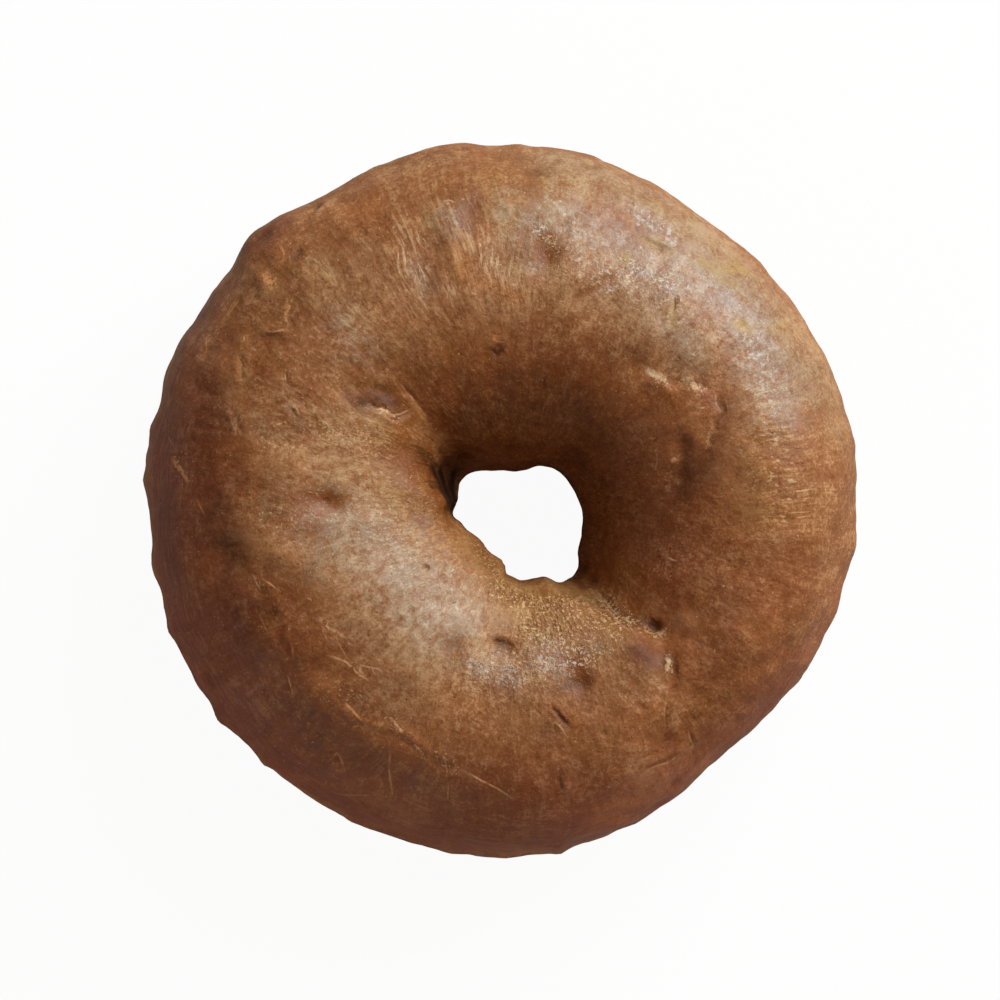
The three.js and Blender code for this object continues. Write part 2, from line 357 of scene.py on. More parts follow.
def refineNearCreases(crust):
    middles = faceMiddles(crust)
    chosen = np.zeros(len(middles), bool)
    for path, width, depth, edge in creases.values():
        reach = refining["creaseWidths"] * width + refining["margin"]
        chosen[alongStroke(path, reach, middles)[0]] = True
    for place, spread, depth in dents.values():
        if spread < refining["smallDent"]:
            chosen[alongStroke([place], refining["dentWidths"] * spread, middles)[0]] = True
    selectFaces(crust, chosen)
    bpy.ops.mesh.subdivide(number_cuts=1, smoothness=1)
    bpy.ops.object.mode_set(mode="OBJECT")
    return int(chosen.sum())


def weigh(crust, name, weights, steps=250):
    group = crust.vertex_groups.new(name=name)
    level = np.round(np.clip(weights, 0, 1) * steps).astype(int)
    for step in np.unique(level[level > 0]):
        group.add(np.flatnonzero(level == step).tolist(), step / steps, "REPLACE")


def push(crust, name, moves):
    # Moves the skin outwards by the given millimetres, as a Displace modifier on a weighted group
    for side, sign in (("Out", 1), ("In", -1)):
        amount = np.maximum(sign * moves, 0)
        most = float(amount.max())
        if most <= 0:
            continue
        weigh(crust, name + side, amount / most)
        press = crust.modifiers.new(name + side, "DISPLACE")
        press.vertex_group = name + side
        press.mid_level = 0
        press.strength = sign * most * millimetre
        bpy.ops.object.modifier_apply(modifier=name + side)


def shapeRing(crust, name, ring):
    skin = points(crust) / millimetre
    x, y = skin[:, 0] - ring["middle"][0], skin[:, 1] - ring["middle"][1]
    angle = np.degrees(np.arctan2(y, x))
    onRing = smoothStep(np.hypot(x, y), *ring["reach"])
    onRing *= smoothStep(skin[:, 2], *ring["foot"]) * (1 - smoothStep(skin[:, 2], *ring["shoulder"]))
    moves = np.zeros(len(skin))
    for at, rise, spread in ring["scallops"]:
        moves += rise * bell((angle - at + 180) % 360 - 180, spread)
    push(crust, name, moves * onRing)


def shapeCreases(crust):
    skin = points(crust)
    moves = np.zeros(len(skin))
    for path, width, depth, edge in creases.values():
        reach, wobble, grooveWidth, edgeAt, edgeWidth = (width * share for share in creaseShape.values())
        near, across, share, apart = alongStroke(path, reach, skin, wobble)
        strength = fadeAtEnds(share) * bell(np.maximum(apart - np.abs(across), 0), width)
        groove = -depth * bell(across, grooveWidth)
        raised = abs(edge) * bell(across * np.sign(edge) - edgeAt, edgeWidth)
        moves[near] += strength * (groove + raised)
    push(crust, "creases", moves)


def shapeDents(crust):
    skin = points(crust)
    moves = np.zeros(len(skin))
    for place, spread, depth in dents.values():
        near, across, share, apart = alongStroke([place], dentReach * spread, skin)
        moves[near] -= depth * bell(apart, spread)
    push(crust, "dents", moves)


def shapeSwells(crust):
    weigh(crust, "clearOfFoot", smoothStep(points(crust)[:, 2], *clearOfFoot))
    for name, (size, rise) in swells.items():
        clouds = bpy.data.textures.new(name, "CLOUDS")
        clouds.noise_scale = size * millimetre
        clouds.noise_depth = 1
        swell = crust.modifiers.new(name, "DISPLACE")
        swell.texture = clouds
        swell.texture_coords = "LOCAL"
        swell.vertex_group = "clearOfFoot"
        swell.mid_level = 0.5
        swell.strength = 2 * rise * millimetre
        bpy.ops.object.modifier_apply(modifier=name)


print("refined", refineNearCreases(crust), "faces near creases")
selectOnly(crust)
shapeRing(crust, "scallops", rim)
shapeRing(crust, "holeScallops", hole)
shapeSwells(crust)
shapeDents(crust)
shapeCreases(crust)
bpy.ops.object.shade_smooth()
print("relief done:", sum(len(p.vertices) - 2 for p in crust.data.polygons), "triangles")


# Where the crust changes colour or texture. Each stroke: its pixels, its half width in millimetres and
# its strength.
washes = {
    # dusty, greyish bloom, and a painted sheen laid where the lamp's highlight falls
    "bloomAndSheen": [
        ([(540, 210), (580, 225), (620, 248), (665, 275)], 4.2, 0.5),
        ([(665, 262), (720, 300), (755, 345), (770, 400)], 4.6, 0.58),
        ([(505, 195), (508, 212)], 2.0, 0.4), ([(642, 212), (655, 228)], 2.2, 0.3),
        ([(534, 265)], 1.5, 0.5), ([(450, 212), (455, 228)], 2.0, 0.4),
        ([(412, 265), (425, 288)], 1.8, 0.35),
        ([(340, 520), (370, 545), (410, 575), (440, 605)], 6.0, 0.65),
        ([(420, 630), (400, 600)], 3.0, 0.6), ([(480, 665), (505, 672)], 2.6, 0.4),
        ([(545, 655), (570, 665)], 2.6, 0.4), ([(340, 325), (355, 345)], 3.2, 0.25),
        ([(385, 420), (345, 425)], 3.0, 0.15), ([(668, 322), (692, 342)], 2.4, 0.3),
        ([(452, 618), (466, 624)], 2.2, 0.9),
    ],
    # ochre, thinly baked places, and on the lit lip of the hole a painted glow of light through the thin
    # crust
    "goldAndGlow": [
        ([(498, 578), (530, 592), (565, 590), (592, 600), (620, 628)], 3.4, 0.9),
        ([(470, 545), (500, 590)], 2.6, 0.7), ([(455, 500), (465, 530)], 2.4, 0.5),
        ([(515, 620), (560, 625)], 4.0, 0.5), ([(715, 268)], 1.2, 0.7), ([(745, 326)], 1.0, 0.9),
        ([(627, 257)], 1.1, 0.6), ([(736, 259)], 1.2, 0.5), ([(270, 281), (272, 290)], 1.2, 0.7),
        ([(237, 300), (226, 315)], 0.8, 0.7), ([(240, 345), (241, 368)], 1.1, 0.3),
        ([(288, 300), (285, 314)], 0.8, 0.4), ([(228, 385), (238, 402)], 1.4, 0.4),
        ([(500, 795)], 1.0, 0.5), ([(405, 395), (420, 420)], 1.6, 0.3),
    ],
    # painted shade: deep brown in pits, creases and the well of the hole
    "deepShade": [
        ([(470, 446), (520, 442), (560, 446), (600, 480)], 3.6, 0.5),
        ([(452, 500), (447, 486), (446, 474), (450, 462), (462, 455)], 2.2, 0.9),
        ([(465, 425), (520, 410), (570, 412), (600, 440)], 4.5, 0.6), ([(496, 353)], 0.9, 0.45),
        ([(548, 257)], 1.6, 0.15), ([(645, 621), (658, 628)], 1.2, 0.9), ([(661, 250)], 0.7, 0.25),
        ([(328, 500)], 1.3, 0.1), ([(456, 645)], 2.0, 0.1), ([(497, 641), (512, 647)], 0.8, 0.25),
        ([(582, 682)], 1.5, 0.2), ([(545, 733)], 1.6, 0.2), ([(562, 718)], 1.2, 0.25),
        ([(668, 743)], 1.8, 0.15), ([(673, 784)], 1.5, 0.2),
        ([(683, 432), (686, 460), (684, 494)], 1.6, 0.45),
        ([(722, 400), (718, 440), (704, 470)], 1.4, 0.3), ([(230, 548), (240, 566)], 2.4, 0.3),
        ([(262, 236)], 2.2, 0.5), ([(297, 254), (284, 272)], 1.3, 0.35), ([(318, 206)], 1.3, 0.3),
        ([(262, 339), (284, 338)], 1.0, 0.3), ([(350, 392), (385, 388)], 1.8, 0.3),
        ([(364, 398), (395, 403)], 1.0, 0.4), ([(537, 174)], 1.6, 0.5), ([(209, 679)], 1.5, 0.5),
        ([(675, 658), (677, 676)], 0.8, 0.3), ([(667, 718), (668, 732)], 1.0, 0.3),
        ([(575, 580), (584, 588)], 1.2, 0.6), ([(438, 250), (442, 268)], 1.4, 0.1),
        ([(240, 300), (248, 285)], 1.2, 0.5), ([(475, 217)], 1.6, 0.2),
        ([(206, 370), (212, 400)], 2.4, 0.5), ([(205, 430), (210, 490)], 2.2, 0.3),
        ([(641, 650), (652, 660)], 1.8, 0.4), ([(578, 440), (584, 458)], 2.0, 0.3),
        ([(430, 740), (450, 750)], 2.0, 0.15), ([(560, 775), (563, 792)], 0.9, 0.25),
        ([(604, 603), (618, 613), (632, 618), (648, 622)], 1.3, 0.5),
        ([(262, 226), (270, 219)], 1.4, 0.35), ([(524, 464), (532, 462)], 1.0, 0.5),
        ([(296, 426), (306, 428)], 1.2, 0.2), ([(540, 376), (546, 384)], 1.2, 0.25),
        ([(678, 452), (680, 462)], 1.2, 0.3), ([(652, 386), (658, 394)], 1.2, 0.3),
    ],
    # painted shade: plum brown on the near and left flanks, which are turned from the lamp
    "plumShade": [
        ([(160, 440), (160, 520), (172, 600), (200, 680), (250, 740)], 7.5, 1.0),
        ([(270, 760), (340, 805), (430, 838), (520, 845), (600, 835)], 6.0, 0.9),
        ([(640, 815), (700, 775), (770, 705), (815, 640)], 5.0, 0.5),
        ([(170, 380), (200, 320), (240, 262), (275, 225)], 4.2, 0.6),
        ([(225, 600), (270, 700), (350, 770)], 6.0, 0.3),
    ],
    # darker, redder patches: some at random, and some painted shade in hollows, creases and the walls turned
    # from the lamp
    "redPatchesAndShade": [
        ([(446, 150), (456, 165)], 2.0, 0.5), ([(398, 178), (408, 192)], 2.2, 0.4),
        ([(530, 176), (534, 192)], 1.8, 0.5), ([(480, 190), (474, 205), (468, 222)], 1.6, 0.9),
        ([(262, 284), (285, 292), (302, 292)], 2.4, 0.7), ([(300, 352), (320, 366)], 2.4, 0.3),
        ([(352, 400), (372, 398), (396, 404)], 1.6, 0.9),
        ([(398, 470), (420, 462), (440, 478)], 3.2, 0.8),
        ([(470, 395), (520, 380), (560, 376), (600, 378)], 3.0, 0.6),
        ([(205, 385), (206, 440), (208, 480), (212, 515)], 2.8, 0.9),
        ([(205, 550), (212, 580), (240, 610)], 3.0, 0.7),
        ([(255, 612), (285, 602), (320, 596)], 2.6, 0.7), ([(470, 560), (486, 572)], 1.8, 0.4),
        ([(600, 625), (625, 612)], 3.0, 0.5), ([(638, 652), (652, 652)], 2.2, 0.9),
        ([(612, 600), (632, 616), (646, 640), (650, 656)], 2.2, 0.9),
        ([(575, 640), (580, 685)], 2.0, 0.4), ([(548, 257)], 1.5, 0.8), ([(328, 501)], 1.2, 0.7),
        ([(456, 645)], 1.8, 0.5), ([(497, 641), (512, 647)], 0.8, 0.8), ([(562, 718)], 1.2, 0.6),
        ([(668, 743)], 1.6, 0.5), ([(258, 340), (282, 340)], 1.0, 0.8),
        ([(683, 432), (686, 460), (684, 494)], 1.8, 0.7),
        ([(722, 400), (718, 440), (704, 470)], 1.6, 0.6),
        ([(425, 468), (437, 500), (446, 518)], 1.6, 0.6), ([(305, 575), (318, 600)], 2.2, 0.6),
        ([(250, 640), (300, 640)], 3.0, 0.4), ([(431, 262), (436, 282)], 1.0, 0.7),
        ([(262, 304), (300, 312)], 2.0, 0.4), ([(718, 595), (728, 605)], 1.6, 0.6),
        ([(630, 545), (690, 575)], 3.5, 0.4), ([(530, 382), (600, 382)], 2.0, 0.6),
        ([(565, 680), (580, 684)], 1.6, 0.5), ([(655, 592), (685, 578), (705, 566)], 2.6, 0.6),
        ([(712, 622), (720, 636)], 1.8, 0.5), ([(755, 552), (790, 552), (815, 570)], 2.6, 0.5),
        ([(450, 750), (470, 772), (510, 776), (560, 782), (600, 780)], 2.8, 0.6),
        ([(362, 700), (376, 712)], 1.8, 0.4), ([(722, 388), (736, 420)], 2.2, 0.3),
        ([(290, 700), (340, 745), (410, 780)], 4.0, 0.5),
    ],
    # painted shade: a redder, slightly darker tint on the hole's walls, the flanks and the near rim, which
    # are turned from the lamp
    "warmShade": [
        ([(440, 400), (520, 385), (600, 395), (660, 440), (690, 520), (680, 590)], 8.0, 0.8),
        ([(195, 420), (190, 560), (240, 700), (330, 780)], 9.0, 0.9),
        ([(280, 620), (320, 700), (410, 770)], 7.0, 0.7), ([(690, 650), (790, 590)], 7.0, 0.7),
        ([(712, 400), (725, 470), (720, 540)], 4.0, 0.8),
        ([(330, 780), (450, 810), (560, 810), (680, 780), (760, 700)], 9.0, 1.0),
        ([(300, 520), (330, 500)], 4.0, 0.3), ([(360, 400), (400, 405)], 3.0, 0.3),
        ([(600, 560), (628, 592)], 3.0, 0.8), ([(300, 715), (330, 730)], 4.0, 0.6),
        ([(390, 775), (430, 775)], 4.0, 0.7),
    ],
    # paler, greyer patches, mostly painted light on the slopes facing the lamp
    "tanAndLight": [
        ([(560, 158), (640, 186), (700, 222)], 4.5, 0.7),
        ([(700, 226), (740, 262), (790, 320)], 5.0, 0.8),
        ([(800, 330), (830, 380), (840, 430)], 4.0, 0.6),
        ([(480, 296), (500, 270), (560, 265)], 4.0, 0.5),
        ([(600, 290), (660, 320), (690, 350)], 3.6, 0.6), ([(360, 262), (390, 300)], 3.6, 0.4),
        ([(470, 612), (520, 625)], 3.0, 0.6), ([(432, 216), (438, 232)], 1.6, 0.6),
        ([(462, 262), (474, 280)], 2.0, 0.4), ([(404, 276), (418, 284)], 2.0, 0.5),
        ([(503, 210), (506, 240)], 2.0, 0.6), ([(548, 215), (562, 238)], 3.2, 0.5),
        ([(532, 262), (536, 284), (570, 292)], 2.4, 0.5), ([(605, 300), (632, 304)], 2.6, 0.6),
        ([(670, 312), (682, 338)], 2.4, 0.7), ([(750, 282), (772, 304), (795, 340)], 4.4, 0.5),
        ([(380, 342), (410, 342)], 2.6, 0.5), ([(322, 276), (344, 296), (352, 312)], 2.8, 0.6),
        ([(262, 428), (276, 440), (278, 470)], 2.6, 0.6),
        ([(282, 396), (302, 412), (338, 416)], 1.8, 0.5), ([(268, 505), (274, 518)], 1.6, 0.5),
        ([(325, 560), (360, 590), (400, 598)], 4.0, 0.6),
        ([(366, 612), (384, 640), (430, 648)], 3.8, 0.8), ([(455, 622), (478, 630)], 2.0, 0.5),
        ([(394, 680), (430, 702)], 2.6, 0.5), ([(620, 172), (660, 192), (690, 212)], 3.0, 0.4),
        ([(345, 455), (385, 485)], 4.0, 0.6), ([(370, 415), (384, 438)], 2.0, 0.6),
        ([(400, 610), (425, 640)], 3.0, 0.5), ([(395, 690), (410, 710)], 2.4, 0.5),
        ([(458, 622), (476, 636)], 2.0, 0.7), ([(664, 312), (684, 340)], 2.6, 0.8),
        ([(640, 195), (700, 245), (760, 300), (800, 370)], 5.0, 0.6),
        ([(560, 165), (620, 190)], 4.5, 0.4), ([(735, 455), (744, 490)], 2.8, 0.8),
        ([(250, 538), (272, 546), (290, 553)], 1.4, 0.7), ([(660, 620), (698, 622)], 1.2, 0.6),
        ([(330, 460), (375, 500)], 3.5, 0.5), ([(645, 775), (655, 800)], 2.0, 0.6),
        ([(450, 260), (505, 292)], 2.0, 0.4),
    ],
    # lighter brown patches, partly painted light on the lit sides of lumps and hollows
    "fairAndLight": [
        ([(612, 402), (628, 406), (660, 418)], 1.6, 0.7),
        ([(660, 430), (676, 462), (660, 480)], 2.6, 0.7), ([(648, 505), (656, 530)], 2.2, 0.6),
        ([(728, 458), (742, 480), (744, 512)], 3.0, 0.9), ([(662, 618), (696, 620)], 1.5, 0.7),
        ([(678, 658), (700, 676)], 2.0, 0.8), ([(246, 538), (270, 548), (292, 556)], 1.8, 0.9),
        ([(640, 780), (652, 800)], 2.2, 0.6), ([(604, 722), (620, 740)], 3.0, 0.6),
        ([(516, 722), (530, 728)], 2.4, 0.5), ([(262, 256), (275, 270)], 1.8, 0.7),
        ([(250, 262), (275, 280)], 2.0, 0.5), ([(264, 333), (288, 332)], 0.9, 0.8),
        ([(205, 355), (224, 362)], 2.0, 0.4),
        ([(290, 775), (340, 800), (420, 828), (500, 838), (570, 832), (640, 810)], 2.4, 0.4),
        ([(760, 720), (800, 670), (830, 620)], 2.2, 0.5), ([(748, 628), (790, 632)], 2.4, 0.5),
        ([(690, 428), (694, 446)], 1.2, 0.7), ([(735, 400), (742, 440)], 2.6, 0.5),
        ([(504, 322), (506, 344)], 1.6, 0.8), ([(495, 288), (520, 298)], 2.4, 0.6),
        ([(425, 420), (440, 436)], 1.8, 0.6), ([(320, 676), (330, 688)], 1.8, 0.7),
        ([(395, 735), (440, 752)], 2.4, 0.5), ([(560, 700), (575, 710)], 1.4, 0.6),
        ([(420, 300), (480, 330)], 4.5, 0.5), ([(600, 655), (612, 668)], 1.6, 0.5),
        ([(215, 575), (240, 570)], 1.6, 0.3), ([(655, 618), (672, 636), (684, 650)], 1.8, 0.9),
        ([(600, 822), (640, 802), (662, 782)], 4.0, 0.9), ([(355, 795), (400, 815)], 3.0, 0.6),
        ([(380, 824), (440, 840), (500, 848)], 2.2, 0.7),
        ([(540, 848), (600, 838), (640, 820)], 2.4, 0.9), ([(676, 652), (690, 688)], 2.2, 0.9),
        ([(262, 455), (292, 472)], 2.2, 0.7), ([(452, 250), (460, 268)], 1.8, 0.8),
        ([(230, 362), (232, 390)], 1.8, 0.5), ([(690, 424), (703, 436)], 1.6, 0.8),
        ([(245, 262), (280, 272)], 1.8, 0.8), ([(640, 775), (665, 765), (690, 750)], 1.2, 0.7),
    ],
    # painted shade: soft brown in the hollows, free of dust
    "hollowShade": [
        ([(548, 256)], 2.2, 1.0), ([(308, 498), (320, 499), (336, 502)], 1.7, 0.95),
        ([(318, 528)], 1.5, 0.4), ([(661, 250)], 1.0, 0.4),
        ([(494, 640), (503, 643), (514, 647)], 0.9, 0.6), ([(456, 645)], 1.6, 0.4),
        ([(578, 662), (580, 684)], 1.7, 0.95), ([(583, 292), (600, 284), (614, 276)], 1.1, 0.7),
        ([(530, 382), (560, 380), (600, 383)], 2.0, 0.4), ([(460, 356), (500, 362)], 2.0, 0.4),
        ([(368, 398), (397, 404), (405, 414)], 1.5, 0.85),
        ([(610, 608), (635, 632), (648, 655)], 2.6, 0.6), ([(640, 654), (668, 662)], 2.2, 0.95),
        ([(700, 622), (722, 636)], 1.8, 0.5), ([(228, 530), (232, 560)], 2.2, 0.35),
        ([(205, 455), (240, 448)], 2.4, 0.4), ([(300, 590), (320, 600)], 2.0, 0.5),
        ([(262, 625)], 2.4, 0.4), ([(425, 262), (432, 284)], 0.9, 0.4),
        ([(552, 709), (562, 719), (571, 728)], 1.1, 0.5),
        ([(424, 466), (435, 488), (446, 508)], 2.4, 0.75), ([(405, 470), (425, 490)], 2.8, 0.4),
        ([(612, 552), (640, 578), (690, 600)], 2.6, 0.45), ([(604, 520), (606, 560)], 2.0, 0.4),
        ([(610, 606), (634, 614)], 1.8, 0.6), ([(755, 552), (812, 552)], 1.6, 0.35),
        ([(205, 560), (212, 588)], 2.4, 0.4), ([(280, 597), (302, 600)], 2.0, 0.35),
        ([(478, 548), (500, 580)], 1.8, 0.4), ([(540, 592), (572, 596)], 1.2, 0.5),
        ([(470, 215)], 1.4, 0.5), ([(530, 172), (536, 200)], 1.6, 0.45), ([(640, 392)], 0.9, 0.5),
        ([(728, 395), (734, 420)], 2.2, 0.35),
    ],
    # yellower crust, with less blue in it
    "honey": [
        ([(400, 420), (395, 480), (425, 540), (455, 575)], 7.0, 1.0),
        ([(340, 490), (350, 550)], 5.0, 0.6), ([(440, 415), (520, 405), (600, 405)], 5.0, 0.9),
        ([(360, 395), (400, 405)], 4.0, 0.9), ([(610, 430), (650, 400)], 5.0, 0.5),
        ([(480, 185), (560, 195)], 5.0, 0.8), ([(325, 735), (345, 750)], 4.0, 0.7),
        ([(765, 400), (775, 460), (770, 530)], 5.0, 0.6), ([(600, 650), (650, 650)], 4.0, 0.5),
        ([(500, 600), (530, 610)], 4.0, 0.4), ([(420, 460), (455, 440), (520, 432)], 3.5, 0.9),
    ],
    # painted shade: a bluer tint, towards purple, mostly on the flanks and walls turned from the lamp
    "violetShade": [
        ([(205, 420), (200, 520), (215, 590), (245, 680)], 5.5, 1.0),
        ([(205, 320), (195, 400)], 5.0, 0.8), ([(612, 480), (640, 520), (665, 560)], 6.0, 0.9),
        ([(680, 610), (700, 640)], 5.0, 0.5), ([(480, 800), (570, 805), (680, 770)], 6.0, 0.7),
        ([(172, 440), (175, 500), (178, 570)], 5.0, 1.0),
        ([(165, 500), (170, 590), (190, 650)], 4.0, 0.5),
        ([(560, 848), (610, 832), (650, 812)], 3.0, 0.9),
        ([(640, 186), (690, 214), (740, 254), (788, 302)], 2.2, 0.5),
    ],
    # crowded bright grains, with painted glints among them
    "glitterAndGlints": [
        ([(586, 586), (600, 596), (612, 608), (624, 618), (640, 624)], 0.8, 0.7),
        ([(606, 604), (622, 616), (648, 630)], 1.1, 0.4),
        ([(648, 630), (660, 636), (666, 630)], 0.9, 0.9), ([(668, 656), (670, 670)], 0.7, 0.9),
        ([(649, 370), (656, 376), (664, 380)], 0.8, 0.9),
        ([(684, 380), (694, 384), (701, 389)], 0.8, 0.8), ([(672, 460), (668, 488)], 0.9, 0.5),
        ([(655, 440), (658, 468)], 0.7, 0.5), ([(711, 430), (710, 448)], 0.8, 0.6),
        ([(538, 228), (550, 242)], 1.3, 0.3), ([(600, 280), (640, 272), (676, 288)], 2.4, 0.3),
        ([(394, 716), (402, 732)], 0.6, 0.6), ([(416, 746), (424, 756)], 0.6, 0.6),
        ([(268, 274), (270, 288)], 1.0, 0.5), ([(325, 432), (372, 440)], 2.2, 0.45),
        ([(262, 436), (290, 450)], 1.8, 0.35), ([(265, 520), (290, 520)], 1.6, 0.35),
        ([(278, 549), (283, 555)], 1.0, 0.6), ([(372, 408), (384, 411), (396, 416)], 0.7, 0.6),
        ([(330, 684), (360, 700)], 1.6, 0.4), ([(436, 752), (450, 768)], 1.2, 0.5),
        ([(384, 716), (410, 738)], 1.0, 0.5), ([(560, 648), (590, 652), (612, 640)], 2.2, 0.35),
        ([(176, 458), (186, 478)], 0.8, 0.5),
    ],
    # darker patches of the same crust, painted shade in part
    "dimAndShade": [
        ([(385, 165), (430, 150), (480, 146)], 3.5, 0.4), ([(286, 228), (320, 232)], 2.5, 0.25),
        ([(262, 290), (285, 302), (280, 316)], 3.0, 0.65), ([(352, 238), (372, 250)], 2.5, 0.3),
        ([(396, 180), (400, 222)], 2.0, 0.35), ([(469, 205), (470, 225)], 1.4, 0.4),
        ([(428, 262), (431, 282)], 1.0, 0.5), ([(672, 262), (700, 278), (712, 284)], 3.0, 0.35),
        ([(522, 304), (526, 322)], 1.4, 0.35), ([(535, 336), (556, 344)], 1.6, 0.4),
        ([(612, 335), (622, 340)], 2.2, 0.4), ([(470, 360), (495, 368)], 2.2, 0.35),
        ([(528, 374), (545, 384)], 1.6, 0.6), ([(560, 386), (592, 388)], 1.8, 0.45),
        ([(355, 404), (380, 398), (404, 416)], 1.8, 0.5), ([(378, 352), (386, 385)], 2.2, 0.4),
        ([(470, 420), (500, 432), (525, 425)], 2.6, 0.35),
        ([(398, 460), (420, 490), (430, 520)], 4.0, 0.6), ([(572, 450), (581, 462)], 1.6, 0.9),
        ([(525, 464)], 1.4, 0.6), ([(442, 484), (446, 500)], 1.4, 1.0),
        ([(310, 528), (328, 530), (334, 508)], 1.4, 0.35), ([(222, 395), (232, 425)], 2.0, 0.5),
        ([(185, 448), (235, 462)], 3.0, 0.5), ([(210, 515), (224, 508)], 1.6, 0.5),
        ([(248, 505), (264, 512)], 1.6, 0.55), ([(222, 540), (234, 562)], 2.6, 1.0),
        ([(236, 545), (262, 562), (290, 574)], 1.8, 0.3), ([(200, 530), (215, 560)], 2.0, 0.4),
        ([(245, 605), (290, 600)], 3.0, 0.45), ([(235, 632), (285, 645)], 3.0, 0.35),
        ([(312, 575), (322, 605)], 2.0, 0.35), ([(332, 612), (348, 640)], 1.8, 0.3),
        ([(396, 548), (412, 568)], 2.6, 0.35), ([(604, 602), (618, 614), (630, 618)], 1.9, 1.0),
        ([(530, 640), (568, 643)], 1.4, 0.4), ([(600, 632), (635, 645)], 2.4, 0.4),
        ([(640, 655), (668, 660)], 2.0, 0.5), ([(565, 685), (582, 684)], 1.6, 0.6),
        ([(540, 738), (560, 728)], 1.6, 0.5), ([(674, 705), (676, 720)], 1.2, 0.6),
        ([(597, 728), (598, 740)], 1.4, 0.4), ([(636, 758), (650, 752)], 1.4, 0.4),
        ([(668, 752), (682, 748)], 1.4, 0.45), ([(448, 735), (462, 762)], 2.0, 0.4),
        ([(420, 778), (440, 782)], 1.6, 0.35), ([(540, 790), (541, 812)], 1.4, 0.35),
        ([(690, 500), (706, 520)], 2.6, 0.4), ([(634, 496), (638, 515)], 1.8, 0.35),
        ([(598, 535), (604, 558)], 1.8, 0.4), ([(612, 558), (635, 582), (672, 602)], 2.0, 0.45),
        ([(805, 365), (815, 395)], 2.4, 0.35), ([(834, 425)], 2.0, 0.4),
        ([(775, 552), (825, 556)], 2.2, 0.35), ([(716, 602), (724, 632)], 2.6, 0.35),
        ([(716, 464), (714, 478)], 1.2, 0.45), ([(651, 388)], 1.2, 0.5),
        ([(688, 366), (700, 374)], 1.4, 0.4), ([(715, 402), (742, 408)], 1.8, 0.35),
        ([(300, 255), (330, 262), (348, 285)], 2.4, 0.45), ([(318, 666), (350, 678)], 1.6, 0.4),
        ([(360, 704), (400, 706)], 2.0, 0.35), ([(785, 400), (820, 404)], 3.0, 0.35),
        ([(770, 498), (795, 500)], 2.4, 0.4), ([(668, 560), (690, 545)], 2.4, 0.35),
        ([(380, 400), (390, 406)], 1.2, 0.6), ([(290, 275), (305, 280)], 1.6, 0.4),
        ([(735, 628), (745, 640)], 1.6, 0.5), ([(700, 660), (712, 664)], 1.6, 0.35),
        ([(374, 402), (388, 400), (398, 410)], 1.3, 0.8), ([(262, 226), (270, 220)], 1.6, 0.6),
        ([(574, 683), (580, 688)], 1.4, 0.7), ([(640, 654), (666, 658)], 2.4, 0.5),
        ([(255, 290), (285, 310)], 3.4, 0.35), ([(205, 415), (230, 425)], 2.2, 0.35),
        ([(395, 480), (430, 500)], 4.0, 0.25), ([(500, 380), (540, 378), (560, 385)], 2.0, 0.3),
        ([(578, 450), (583, 458)], 1.2, 0.6), ([(460, 776), (510, 780)], 2.4, 0.3),
        ([(640, 245), (652, 252)], 1.6, 0.35), ([(700, 268), (722, 274)], 2.0, 0.35),
        ([(404, 165), (450, 155), (470, 175), (462, 205)], 3.4, 0.6),
        ([(230, 590), (270, 610), (300, 640)], 5.0, 0.3),
        ([(306, 700), (316, 730), (318, 748)], 3.0, 0.4),
        ([(190, 440), (230, 450), (245, 500)], 5.0, 0.3), ([(345, 690), (385, 696)], 2.2, 0.5),
        ([(700, 480), (706, 510)], 2.6, 0.45), ([(620, 500), (640, 516)], 2.6, 0.35),
        ([(700, 590), (745, 610)], 2.6, 0.35), ([(540, 642), (570, 646), (606, 648)], 1.6, 0.45),
        ([(640, 650), (630, 662)], 2.4, 0.4), ([(395, 545), (412, 560), (408, 575)], 2.6, 0.8),
    ],
    # lighter patches of the same crust, painted light in part
    "liftAndLight": [
        ([(606, 210), (622, 216)], 2.4, 0.4), ([(458, 258), (470, 276), (484, 280)], 2.0, 0.8),
        ([(500, 288), (518, 294)], 1.6, 0.6), ([(404, 272), (410, 290)], 1.4, 0.5),
        ([(534, 268), (538, 288)], 1.6, 0.5), ([(562, 238), (568, 256)], 1.8, 0.4),
        ([(318, 278), (338, 292)], 2.0, 0.6), ([(350, 298), (356, 310)], 2.0, 0.45),
        ([(356, 208), (372, 206)], 2.0, 0.4), ([(442, 218), (443, 230)], 1.2, 0.45),
        ([(492, 215), (492, 235)], 1.6, 0.4), ([(252, 256), (276, 276)], 2.0, 0.45),
        ([(234, 302), (226, 312)], 1.6, 0.45), ([(226, 360)], 2.0, 0.4),
        ([(328, 332), (342, 340)], 2.2, 0.4), ([(358, 366)], 1.8, 0.4),
        ([(404, 378), (416, 386)], 1.6, 0.4), ([(330, 410), (350, 424), (395, 432)], 2.2, 0.55),
        ([(440, 420), (448, 426)], 1.8, 0.5), ([(503, 332), (507, 348)], 1.4, 0.5),
        ([(612, 372), (655, 366)], 2.2, 0.35), ([(627, 402), (633, 412)], 1.4, 0.7),
        ([(664, 392), (680, 384)], 2.0, 0.5), ([(690, 322), (725, 338)], 2.6, 0.4),
        ([(598, 300), (628, 304)], 2.2, 0.4), ([(712, 416), (716, 436)], 1.4, 0.5),
        ([(742, 436), (770, 462)], 2.6, 0.35), ([(690, 424), (698, 442)], 1.4, 0.5),
        ([(668, 480), (672, 496)], 1.4, 0.55), ([(662, 455)], 1.4, 0.5),
        ([(335, 480), (375, 478)], 4.0, 0.5), ([(265, 455), (300, 460)], 3.0, 0.3),
        ([(225, 526), (255, 538), (292, 556)], 1.6, 0.6), ([(252, 572)], 1.4, 0.6),
